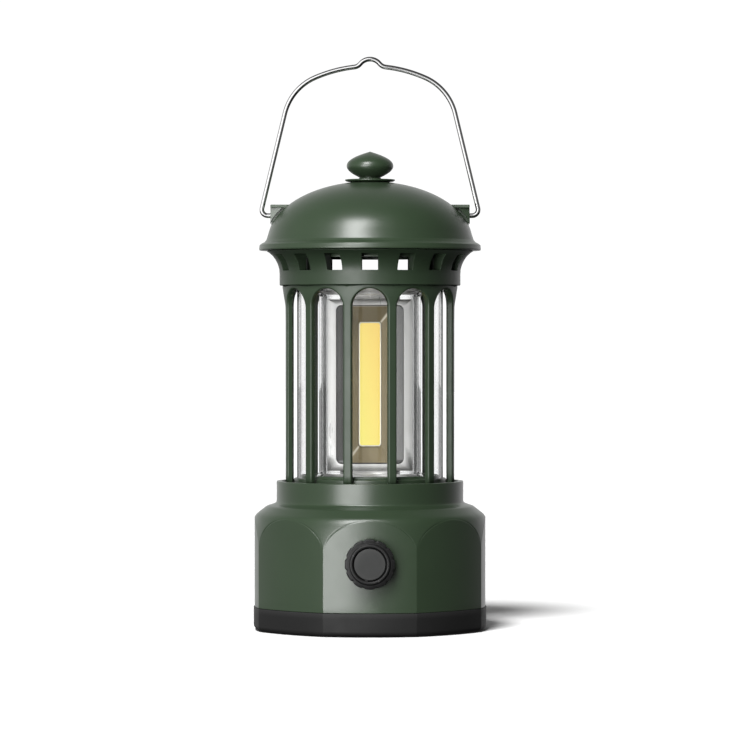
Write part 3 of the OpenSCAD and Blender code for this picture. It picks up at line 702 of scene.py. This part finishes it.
def turned_knob(name, outlines, material):
    """A turned piece whose axis runs along -Y through the knob's centre; r and depth are in millimetres."""
    steps = len(outlines)
    columns = []
    for s, outline in enumerate(outlines):
        theta = TAU * s / steps
        columns.append([(r * math.cos(theta), -d, KNOB_Z + r * math.sin(theta)) for r, d in outline])
    return loft(name, columns, material, "dimmer")


def make_knob():
    step, front = KNOB_FRONT - GROOVE, KNOB_FRONT
    outlines = []
    for s in range(NOTCHES * NOTCH_STEPS):
        theta = TAU * s / (NOTCHES * NOTCH_STEPS)
        pitch = TAU / NOTCHES
        off = ((theta + pitch) % pitch - pitch / 2) * KNOB_R
        rim = KNOB_R - NOTCH_DEPTH * max(0.0, 1 - (off / NOTCH_HALF) ** 2)
        pointer = abs((theta - POINTER_AT + math.pi) % TAU - math.pi) < POINTER_HALF
        groove = front - (POINTER_GROOVE if pointer else GROOVE)
        outlines.append([
            (0, SPINDLE_END), (SPINDLE_R, SPINDLE_END), (SPINDLE_R, KNOB_BACK), (rim - 0.3, KNOB_BACK),
            (rim, KNOB_BACK + 0.3),
            (rim, (KNOB_BACK + step) / 2), (rim, step - 0.35), (rim - 0.10, step - 0.12), (rim - 0.35, step),
            (min(rim - 0.5, 8.35), step), (8.1, step + 0.02), (7.86, step + 0.1), (7.8, step + 0.3),
            (7.8, front - 0.3), (7.70, front - 0.08), (7.5, front), (6.95, front), (6.73, front - 0.08),
            (6.65, max(groove, front - 0.3) - 0.01), (6.65, groove), (6.2, groove), (6.18, step - 0.02),
            (0, step - 0.02)])
    knob = turned_knob("knob_body", outlines, KNOB_BLACK)
    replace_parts(soften(knob), "dimmer_knob")
    cap = [(0, step), (CAP_R - 0.1, step), (CAP_R, step + 0.1), (CAP_R, CAP_FRONT - 0.25),
           (CAP_R - 0.08, CAP_FRONT - 0.08), (CAP_R - 0.25, CAP_FRONT), (CAP_R * 0.5, CAP_FRONT),
           (0, CAP_FRONT)]
    disc = turned_knob("knob_disc", [cap] * 96, DISC_GREY)
    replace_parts(soften(disc), "knob_cap")


# -------------------- cage of arched bars

BARS = 12
CAGE_R = 34.5
CAGE_IN_R = 32.2
HALF_PITCH = CAGE_R * TAU / BARS / 2
ARCH_HALF = 7.25
ARCH_Z = 128.6
BAR_LOW = 56.5
BAR_ROWS, ARCH_ROWS = 12, 9
BAR_ROUND, BAR_INNER_ROUND, BAR_STEPS = 0.65, 0.25, 4


def cage_front(z):
    """Radius of the frame's front, which swells into the band at the top."""
    t = max(0.0, min(1.0, (z - 127.0) / 7.0))
    return CAGE_R + (CAGE_BAND_R - CAGE_R) * t * t * (3 - 2 * t)


def cage_profile(boundary, direction, reach):
    """Points from the frame's front, round the opening's edge, to the frame's back. Each is (u, z, r)."""
    (u, z), (du, dz) = boundary, direction
    out = []

    def at(d, radius=None, sunk=0.0):
        uu, zz = u + du * d, z + dz * d
        out.append((uu, zz, radius or cage_front(zz) - sunk))

    for k in range(BAR_STEPS, 0, -1):
        at(BAR_ROUND + (reach - BAR_ROUND) * k / BAR_STEPS)
    for k in range(BAR_STEPS + 1):
        a = math.pi / 2 * k / BAR_STEPS
        at(BAR_ROUND * (1 - math.sin(a)), sunk=BAR_ROUND * (1 - math.cos(a)))
    at(0, sunk=2.0)
    at(0, CAGE_IN_R + BAR_INNER_ROUND)
    for k in range(BAR_STEPS + 1):
        at(BAR_INNER_ROUND + (reach - BAR_INNER_ROUND) * k / BAR_STEPS, CAGE_IN_R)
    return out


def make_cage():
    rows = []
    for k in range(BAR_ROWS):
        z = BAR_LOW + (ARCH_Z - BAR_LOW) * k / BAR_ROWS
        rows.append(cage_profile((ARCH_HALF, z), (1, 0), HALF_PITCH - ARCH_HALF))
    high = CAGE_TOP - ARCH_Z
    corner = math.atan2(high, HALF_PITCH)
    angles = [corner * k / ARCH_ROWS for k in range(ARCH_ROWS)]
    angles += [corner + (math.pi / 2 - corner) * k / ARCH_ROWS for k in range(ARCH_ROWS + 1)]
    for a in angles:
        c, s = math.cos(a), math.sin(a)
        reach = (HALF_PITCH / c if a <= corner else high / s) - ARCH_HALF
        rows.append(cage_profile((ARCH_HALF * c, ARCH_Z + ARCH_HALF * s), (c, s), reach))
    count = len(rows[0])
    verts, faces = [], []
    for bar in range(BARS):
        middle = TAU / BARS * bar
        for side in (1, -1):
            start = len(verts)
            for row in rows:
                verts += [polar(r, middle + side * u / CAGE_R, z) for u, z, r in row]
            for i in range(len(rows) - 1):
                for j in range(count - 1):
                    at = start + i * count + j
                    faces.append((at, at + 1, at + count + 1, at + count))
                if i >= BAR_ROWS + ARCH_ROWS:
                    at = start + i * count
                    faces.append((at, at + count, at + 2 * count - 1, at + count - 1))
            faces.append(tuple(range(start, start + count)))
    cage = new_object("arched_cage", verts, faces, GREEN_MATT_SHADED, "lantern")
    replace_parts(soften(cage), "cage")
    foot = rounded([(30.6, CAGE_LOW), (CAGE_BAND_R, CAGE_LOW), (CAGE_BAND_R, 57), (30.6, 57)],
                   [0.15] * 4, 2, True)
    soften(lathe("cage_foot", foot, GREEN))


# -------------------- window gallery

WINDOWS = 16
WINDOW_HALF = 3.2
WINDOW_LOW, WINDOW_HIGH = 143.1, 149.6
GALLERY_R = 36.2
FLARE_Z = 141.5
GALLERY_BORE, GALLERY_FLOOR, GALLERY_EYE_R = 32.4, 139.3, 22
PANE_ROWS, PANE_COLUMNS, PIER_COLUMNS = 7, 4, 7


def gallery_r(z):
    """Outer radius: upright, then a hollow curve out to the top."""
    out, up = GALLERY_TOP_R - GALLERY_R, GALLERY_TOP - FLARE_Z
    arc = (out ** 2 + up ** 2) / (2 * out)
    return GALLERY_R + (arc - math.sqrt(arc ** 2 - (z - FLARE_Z) ** 2) if z > FLARE_Z else 0.0)


def make_gallery():
    outline = [(GALLERY_R - 0.3, GALLERY_LOW), (GALLERY_R - 0.08, GALLERY_LOW + 0.09),
               (GALLERY_R, GALLERY_LOW + 0.3)]
    outline += [(gallery_r(z), z) for z in (139.0, 140.4, 141.5, 142.3)]
    first = len(outline)
    zs = [WINDOW_LOW + (WINDOW_HIGH - WINDOW_LOW) * k / PANE_ROWS for k in range(PANE_ROWS + 1)]
    outline += [(gallery_r(z), z) for z in zs]
    outline += [(gallery_r(150.4), 150.4), (GALLERY_TOP_R - 0.1, GALLERY_TOP - 0.25),
                (GALLERY_TOP_R - 0.3, GALLERY_TOP), (GALLERY_BORE + 0.2, GALLERY_TOP),
                (GALLERY_BORE, GALLERY_TOP - 0.2)]
    second = len(outline)
    outline += [(GALLERY_BORE, z) for z in reversed(zs)]
    outline += [(GALLERY_BORE, GALLERY_FLOOR), (GALLERY_EYE_R, GALLERY_FLOOR), (GALLERY_EYE_R, GALLERY_LOW)]
    per = PANE_COLUMNS + PIER_COLUMNS

    def corner(i, row):
        r, z = outline[row]
        window, part = divmod(i, per)
        middle = -math.pi / 2 + TAU * window / WINDOWS
        if part <= PANE_COLUMNS:
            return polar(r, middle + math.asin(WINDOW_HALF * (2 * part / PANE_COLUMNS - 1) / r), z)
        edge = math.asin(WINDOW_HALF / r)
        return polar(r, middle + edge + (TAU / WINDOWS - 2 * edge) * (part - PANE_COLUMNS) / PIER_COLUMNS, z)

    def in_window(i, j):
        return i % per < PANE_COLUMNS and (first <= j < first + PANE_ROWS or second <= j < second + PANE_ROWS)

    columns = [[corner(i, row) for row in range(len(outline))] for i in range(per * WINDOWS)]
    ring = loft("gallery_shell", columns, GREEN, "lantern", skip=in_window)
    verts = [tuple(v.co / MM) for v in ring.data.vertices]
    faces = [tuple(p.vertices) for p in ring.data.polygons]
    back = second + PANE_ROWS
    for left in range(0, per * WINDOWS, per):
        right = left + PANE_COLUMNS
        for k in range(PANE_ROWS):
            for i in (left, right):
                add_face(verts, faces, [corner(i, first + k), corner(i, first + k + 1),
                                        corner(i, back - k - 1), corner(i, back - k)])
        for i in range(left, right):
            for a, b in ((first, back), (first + PANE_ROWS, second)):
                add_face(verts, faces, [corner(i, a), corner(i + 1, a), corner(i + 1, b), corner(i, b)])
    bpy.data.objects.remove(ring)
    ring = new_object("gallery_shell", verts, faces, GREEN_MATT_SHADED, "lantern")
    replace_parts(soften(ring, 0.18), "gallery_ring")


# -------------------- roof, ears and finial

DOME_A, DOME_B, DOME_Z = 41.0, 24.0, 155.0
ROOF_WALL = 2.2
ROOF_STEPS, ROOF_INNER_STEPS = 44, 16
ROOF_SKIRT, FINIAL_HOLE_R, DOME_START_Z = 30.4, 2.7, 158.4
POST_X, POST_Y = 22.9, 13.2
EAR_HALF, EAR_END_X = 4.0, 39.8
EAR_TOP, EAR_UNDER, EAR_GAP = 169.6, 168.3, 1.0
NECK_R, NECK_Z, BULB_R, BULB_Z, BULB_STEPS = 4.2, 180.4, 9.35, 185.1, 18


def dome_r(z):
    """Outer radius of the dome at a level."""
    return DOME_A * math.sqrt(max(0.0, 1 - ((z - DOME_Z) / DOME_B) ** 2))


def make_roof():
    r = BRIM_R
    brim = rounded([(32.4, 151.35), (43.5, 151.35), (r - 0.1, 151.3), (r, 152.0), (r - 0.2, 153.5),
                    (r - 1.4, 154.3), (r - 2.0, 154.5), (r - 2.9, 155.5), (r - 3.45, 157.2)],
                   [0, 0.3, 0.35, 1.2, 0.5, 0.5, 0.5, 1.2, 0])
    top = math.asin((DOME_FLAT - DOME_Z) / DOME_B)
    low = math.asin((DOME_START_Z - DOME_Z) / DOME_B)
    dome = [(DOME_A * math.cos(a), DOME_Z + DOME_B * math.sin(a))
            for a in (low + (top - low) * k / ROOF_STEPS for k in range(ROOF_STEPS + 1))]
    inner = [((DOME_A - ROOF_WALL) * math.cos(a), DOME_Z + (DOME_B - ROOF_WALL) * math.sin(a))
             for a in (math.radians(84 - 46 * k / ROOF_INNER_STEPS) for k in range(ROOF_INNER_STEPS + 1))]
    outline = [(32.2, 148.4), (32.2, 151.35)] + brim[1:] + dome + [(FINIAL_HOLE_R, DOME_FLAT)]
    outline += [(FINIAL_HOLE_R, inner[0][1])] + inner
    outline += [(ROOF_SKIRT, 167.5), (ROOF_SKIRT, 148.4), (ROOF_SKIRT + 0.2, 148.2), (32.0, 148.2)]
    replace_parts(soften(lathe("roof_shell", outline, GREEN, 256)), "roof_cap")


def make_roof_posts():
    """Posts that the roof's screws run up into; they also close the view across the gallery."""
    outline = rounded([(1.3, 139.45), (2.9, 139.45), (2.6, 171.2), (1.3, 171.2)], [0.2, 0.3, 0.2, 0], 2, True)
    for index, (side_x, side_y) in enumerate(((1, 1), (-1, 1), (-1, -1), (1, -1))):
        post = lathe(f"roof_post_{index + 1}", outline, GREEN, 40)
        shift(post, side_x * POST_X, side_y * POST_Y)
        soften(post)


def web_half(x):
    """Half thickness of an ear's web: thinner at its outer end."""
    return 3.65 - 0.22 * max(0.0, x - 35.0)


def make_ear(side, name):
    """A lug for the wire: a wedge-shaped web that stands off the dome, a thin rib in the gap, a thicker top."""

    def prism(outline, halves, label):
        verts = [(side * x, y * half, z) for y in (-1, 1) for (x, z), half in zip(outline, halves)]
        return new_object(label, verts, prism_faces(len(outline)), GREEN, "lantern")

    inside = [(dome_r(z) + EAR_GAP, z) for z in (162.5, 164.0, 165.5, 167.0, EAR_UNDER + 0.2)]
    web = [(EAR_END_X, 161.9)] + inside + [(EAR_END_X, EAR_UNDER + 0.2)]
    web = prism(web, [web_half(x) for x, _ in web], name)
    rib = [(EAR_END_X - 0.3, 160.2), (38.6, 160.2), (34.6, 166.0), (32.0, EAR_UNDER + 0.2),
           (EAR_END_X - 0.3, EAR_UNDER + 0.2)]
    rib = prism(rib, [1.9] * len(rib), name + "_rib")
    for part in (web, rib):
        cut(part, [drill((side * 37, 0, PIVOT_Z), (1, 0, 0), 1.06, 9)])
        soften(part, 0.15, 40, 2)
    cap = [(EAR_END_X, EAR_UNDER), (EAR_END_X, EAR_TOP), (31.0, EAR_TOP), (32.3, EAR_UNDER)]
    soften(prism(cap, [EAR_HALF] * len(cap), name + "_top"), 0.25, 40, 3)


def make_finial():
    flange = rounded([(0, DOME_FLAT), (6.6, DOME_FLAT), (9.3, 178.85), (10.15, 179.35), (9.9, 179.8),
                      (8.6, 179.55), (5.6, 179.75)], [0, 0.5, 1.5, 0.3, 0.25, 0.6, 0], 3)
    neck = [(5.6, 179.75), (4.9, 179.95), (4.45, 180.2), (4.2, 180.5)]
    ts = [k / BULB_STEPS for k in range(1, BULB_STEPS + 1)]
    start = NECK_Z + 0.15
    lower = [(NECK_R + (BULB_R - NECK_R) * (1 - (1 - t) ** 2), start + (BULB_Z - start) * t) for t in ts]
    upper = [(BULB_R * (1 - t ** 2.2), BULB_Z + (TIP_Z - BULB_Z) * t) for t in ts]
    outline = [(1.6, DOME_FLAT)] + flange[1:-1] + neck + lower + upper[:-1]
    outline += [(0.25, TIP_Z - 0.06), (0, TIP_Z), (0, 186.4), (1.6, 186.4)]
    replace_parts(soften(lathe("onion_finial", outline, GREEN, 128)), "finial")


# -------------------- lamp inside the cage

LINER_WALL, TUBE_WALL = 1.0, 1.1
TUBE_R, LIP_LENGTH, LIP_STEPS = 20.4, 2.6, 8


def tube_r(z):
    """Outer radius of the lamp tube, which flares to a lip at both ends."""
    t = max(0.0, 1 - min(z - TUBE_LOW, TUBE_TOP - z) / LIP_LENGTH)
    return TUBE_R + (LIP_R - TUBE_R) * t * t * (3 - 2 * t)


def make_tubes():
    inside = LINER_R - LINER_WALL
    liner = rounded([(inside, LINER_LOW), (LINER_R, LINER_LOW), (LINER_R, LINER_TOP), (inside, LINER_TOP)],
                    [0.2] * 4, 2, True)
    shell = soften(lathe("clear_liner", liner, CLEAR))
    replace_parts(shell, "liner_tube")
    zs = [TUBE_LOW + LIP_LENGTH * k / LIP_STEPS for k in range(LIP_STEPS + 1)] + [(TUBE_LOW + TUBE_TOP) / 2]
    zs += [TUBE_TOP - LIP_LENGTH * k / LIP_STEPS for k in range(LIP_STEPS, -1, -1)]
    outline = [(tube_r(z), z) for z in zs] + [(tube_r(z) - TUBE_WALL, z) for z in reversed(zs)]
    tube = soften(lathe("clear_lamp_tube", outline, CLEAR_THICK))
    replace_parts(tube, "lamp_tube")
    shell.visible_shadow = tube.visible_shadow = False


CORE_FACE = 9.6
CORE_HALF = 16.3
CORE_LOW, CORE_HIGH = 63.5, 131.7
CORE_BORE, CORE_NECK_R, CORE_DISC_R, CORE_DISC = 3.5, 12, 18.8, 1.8
STRIP_Z = 97.95
STRIP_HALF, STRIP_TALL = 4.4, 24.8
PER_SIDE = (5, 9)
CORNER_STEPS = 5
# The stepped tray in each face of the core: half width, low, high, corner radius, depth, and the tone of
# the ring that starts there (0 silver, 1 recess grey that is partly painted shade, 2 warm tone that is a painted
# reflection).
TRAY = [(CORE_HALF, CORE_LOW, CORE_HIGH, 0, 0.0, 0), (13.35, 66.05, 129.65, 2.35, 0.0, 0),
        (13.2, 66.2, 129.5, 2.2, 0.12, 1), (13.1, 66.3, 129.4, 2.1, 1.0, 1), (12.9, 66.5, 129.2, 1.9, 1.2, 1),
        (9.6, 66.7, 129.0, 1.0, 1.2, 2), (9.3, 67.0, 128.7, 0.8, 1.32, 2),
        (4.7, STRIP_Z - 25.1, STRIP_Z + 25.1, 1.2, 3.1, 2), (4.5, STRIP_Z - 24.9, STRIP_Z + 24.9, 1.2, 3.25, 2)]
# The lit strip's steps: distance in from its edge, corner radius and depth. Its border ends with the fourth.
STRIP = [(0, 1.2, 3.2), (0, 1.2, 2.55), (0.1, 1.1, 2.45), (0.35, 0.9, 2.45), (0.45, 0.9, 2.3), (0.8, 0.7, 2.2),
         (2.6, 0.4, 2.2)]
BORDER_STEPS = 4


def frame_loop(half_w, low, high, corner):
    """A rounded upright rectangle as a fixed count of (u, z) points, starting at the lower right."""
    corner = max(corner, 0.001)
    arcs = []
    for u, z, start in ((half_w, low, -90), (half_w, high, 0), (-half_w, high, 90), (-half_w, low, 180)):
        cu, cz = u - math.copysign(corner, u), z + (corner if z == low else -corner)
        angles = [math.radians(start + 90 * k / CORNER_STEPS) for k in range(CORNER_STEPS + 1)]
        arcs.append([(cu + corner * math.cos(a), cz + corner * math.sin(a)) for a in angles])
    out = []
    for index, arc in enumerate(arcs):
        (u0, z0), (u1, z1) = arc[-1], arcs[(index + 1) % 4][0]
        parts = PER_SIDE[1 - index % 2]
        out += arc + [(u0 + (u1 - u0) * t, z0 + (z1 - z0) * t) for t in (k / parts for k in range(1, parts))]
    return out


def face_point(u, z, depth, turn):
    """A point on one of the core's three faces: u runs to the right as the face is looked at."""
    x, y = u, -(CORE_FACE - depth)
    c, s = math.cos(turn), math.sin(turn)
    return (x * c - y * s, x * s + y * c, z)


def nested_faces(loops, turn):
    """Verts and faces of rings of quads between loops of (points, depth), with a cap on the last loop."""
    verts, faces = [], []
    count = len(loops[0][0])
    for points, depth in loops:
        verts += [face_point(u, z, depth, turn) for u, z in points]
    for i in range(len(loops) - 1):
        for j in range(count):
            k = (j + 1) % count
            faces.append((i * count + j, i * count + k, (i + 1) * count + k, (i + 1) * count + j))
    base = (len(loops) - 1) * count
    faces.append(tuple(range(base, base + count)))
    return verts, faces


def make_core():
    verts, faces, tone_of = [], [], {}
    turns = [TAU * k / 3 for k in range(3)]
    outer = frame_loop(*TRAY[0][:4])
    rim = sorted({(round(u, 6), round(z, 6)) for u, z in outer})
    side = sorted({z for u, z in rim if u > CORE_HALF - 0.01})
    low_ring, high_ring = [], []
    for turn in turns:
        more_verts, more_faces = nested_faces([(frame_loop(*step[:4]), step[4]) for step in TRAY], turn)
        start = len(verts)
        verts += more_verts
        for index, face in enumerate(more_faces):
            tone_of[len(faces)] = TRAY[index // len(outer)][5]
            faces.append(tuple(start + i for i in face))
        low_ring += [face_point(u, z, 0, turn) for u, z in rim if z < CORE_LOW + 0.01]
        high_ring += [face_point(u, CORE_HIGH, 0, turn) for u, z in rim if z > CORE_HIGH - 0.01]
    for turn in turns:
        for z0, z1 in zip(side, side[1:]):
            add_face(verts, faces, [
                face_point(CORE_HALF, z0, 0, turn), face_point(CORE_HALF, z1, 0, turn),
                face_point(-CORE_HALF, z1, 0, turn + TAU / 3), face_point(-CORE_HALF, z0, 0, turn + TAU / 3)])
    for ring in (low_ring, high_ring):
        add_face(verts, faces, ring)
    core = new_object("reflector_prism", verts, faces, SILVER, "lantern", tone_of)
    # The second tone is the recess grey, which is partly painted shade; the third is the warm tone, which is a
    # painted reflection.
    core.data.materials.append(RECESS_SHADE)
    core.data.materials.append(WARM_REFLECTION)
    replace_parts(soften(core), "reflector_core")


def make_core_ends():
    """A disc with a short neck at the core's foot and at its head."""
    for name, end, disc, neck in (("core_foot", LINER_LOW, LINER_LOW + CORE_DISC, CORE_LOW),
                                  ("core_head", LINER_TOP, LINER_TOP - CORE_DISC, CORE_HIGH)):
        ring = [(CORE_BORE, end), (CORE_DISC_R, end), (CORE_DISC_R, disc), (CORE_NECK_R, disc),
                (CORE_NECK_R, neck), (CORE_BORE, neck)]
        outline = rounded(ring, [0, 0.5, 0.5, 0.3, 0, 0], 3, True)
        soften(lathe(name, outline, SILVER, 128))


def make_strips():
    phosphor = glowing_phosphor("lit_phosphor", STRIP_Z - 26, STRIP_Z + 26, 5)
    low, high = STRIP_Z - STRIP_TALL, STRIP_Z + STRIP_TALL
    loops = [(frame_loop(STRIP_HALF - d, low + d, high - d, corner), depth) for d, corner, depth in STRIP]
    count = len(loops[0][0])
    border = {index: 1 for index in range(BORDER_STEPS * count)}
    for k in range(3):
        verts, faces = nested_faces(loops, TAU * k / 3)
        faces.append(tuple(reversed(range(count))))
        strip = new_object(f"light_strip_{k + 1}", verts, faces, phosphor, "lantern", border)
        strip.data.materials.append(CERAMIC)
        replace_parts(soften(strip), f"cob_strip_{k + 1}")


def make_plates():
    plate = rounded([(CORE_BORE, LINER_TOP), (PLATE_R, LINER_TOP), (PLATE_R, PLATE_TOP),
                     (CORE_BORE, PLATE_TOP)], [0, 0.3, 0.3, 0], 3, True)
    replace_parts(soften(lathe("top_plate_disc", plate, SILVER)), "top_plate")
    seat_top, wide, floor_z = top_z("lamp_deck"), CAGE_BAND_R, LINER_LOW
    deck = rounded([(26.9, DECK_SEAT), (wide, DECK_SEAT), (wide, 50.6), (30.3, 50.6), (30.3, floor_z),
                    (27.9, floor_z), (27.9, seat_top), (26.8, seat_top), (26.8, floor_z), (CORE_BORE, floor_z),
                    (CORE_BORE, 57.4), (26.9, 57.4)],
                   [0.2, 0.2, 0.2, 0, 0.3, 0, 0.2, 0.2, 0, 0.2, 0.2, 0.2], 2, True)
    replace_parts(soften(lathe("deck_disc", deck, GREEN)), "lamp_deck")


# -------------------- bail

def arc_points(x, z, r, start, end, steps):
    """Points on an arc; angles are in degrees from +Z towards +X."""
    angles = [math.radians(start + (end - start) * k / steps) for k in range(steps + 1)]
    return [(x + r * math.sin(a), z + r * math.cos(a)) for a in angles]


WIRE_R, WIRE_SIDES = 1.0, 24
PIN_END = 33.0
# The right half of the wire, from the crown down: centre, radius, start and end angle, steps.
BAIL_ARCS = ((0, 222.9, 5, 0, 51.3, 8), (6.64, 228.22, 3.5, 231.3, 186.8, 6), (0, 170.1, 55, 6.8, 23.6, 10),
             (13.57, 201.17, 21.1, 23.6, 76.4, 20))


def make_bail():
    half = []
    for arc in BAIL_ARCS:
        half += arc_points(*arc)[1 if half else 0:]
    foot = arc_points(40.9, PIVOT_Z + 2.4, 2.4, 76.4, 180, 12)
    (x0, z0), (x1, z1) = half[-1], foot[0]
    half += [(x0 + (x1 - x0) * k / 6, z0 + (z1 - z0) * k / 6) for k in range(1, 6)]
    half += foot + [(38.0, PIVOT_Z), (35.5, PIVOT_Z), (PIN_END + WIRE_R, PIVOT_Z)]
    path = [Vector((-x, 0, z)) for x, z in reversed(half[1:])] + [Vector((x, 0, z)) for x, z in half]
    rings = []
    for i, point in enumerate(path):
        along = (path[min(i + 1, len(path) - 1)] - path[max(i - 1, 0)]).normalized()
        rings.append((point, along, WIRE_R))
    for end, sign in ((0, -1), (-1, 1)):
        point, along, _ = rings[end]
        dome = [(point + along * sign * WIRE_R * math.sin(a), along, max(WIRE_R * math.cos(a), 1e-6))
                for a in (math.pi / 2 * k / 4 for k in range(1, 5))]
        rings = list(reversed(dome)) + rings if end == 0 else rings + dome
    verts, faces, sides = [], [], WIRE_SIDES
    across = Vector((0, 1, 0))
    for point, along, r in rings:
        out = across.cross(along).normalized()
        verts += [point + out * math.cos(TAU * k / sides) * r + across * math.sin(TAU * k / sides) * r
                  for k in range(sides)]
    for low in range(0, (len(rings) - 1) * sides, sides):
        for k in range(sides):
            n = (k + 1) % sides
            faces.append((low + k, low + n, low + sides + n, low + sides + k))
    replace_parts(new_object("bail_wire_loop", verts, faces, WIRE, "bail"), "bail_handle")


# -------------------- all of it

make_base()
make_knob()
make_cage()
make_gallery()
make_roof()
make_roof_posts()
make_ear(1, "roof_ear_right")
make_ear(-1, "roof_ear_left")
make_finial()
make_tubes()
make_core()
make_core_ends()
make_strips()
make_plates()
make_bail()

FINISH = (
    (BLACK, ("battery_door", "battery_holder")),
    (SLEEVE, ("battery_cells", "pot_ribbon")),
    (STEEL, ("battery_springs", "board_screws", "dimmer_pot", "pot_washer", "pot_nut", "dimmer_shaft",
             "finial_screw", "base_screws", "cage_screws", "roof_screws")),
    (BRASS, ("battery_contacts",)),
    (BOARD, ("driver_board",)),
    (CHIPS, ("board_parts",)),
    (LEAD, ("battery_leads", "lamp_leads")),
)
for paint, node_names in FINISH:
    for node_name in node_names:
        carried = frame["nodes"][node_name]
        if not carried.material_slots:
            carried.data.materials.append(paint)
        for holder in carried.material_slots:
            holder.material = paint

# What each lamp shines on; the clear tubes get none of them. Only what the front strip lights shades its light.
LIT_BY = {"soft_sun": ("floor",), "wire_card": ("wire",), "key_softbox": ("opaque",),
          "front_strip": ("opaque", "core"), "left_fill": ("opaque", "core"), "core_card": ("core",)}


def made_of(piece):
    """What a piece counts as when the light is shared out."""
    paint = piece.data.materials[0] if piece.data.materials else None
    if piece.name == "floor":
        return "floor"
    if paint == WIRE:
        return "wire"
    if paint in (SILVER, RECESS_SHADE, WARM_REFLECTION) or piece.name.startswith("light_strip"):
        return "core"
    return "clear" if paint in (CLEAR, CLEAR_THICK) else "opaque"


for lamp_name, kinds in LIT_BY.items():
    group = bpy.data.collections.new(f"under_{lamp_name}")
    for piece in bpy.context.scene.objects:
        if piece.type == "MESH" and made_of(piece) in kinds:
            group.objects.link(piece)
    linking = bpy.data.objects[lamp_name].light_linking
    linking.receiver_collection = group
    if lamp_name == "front_strip":
        linking.blocker_collection = group
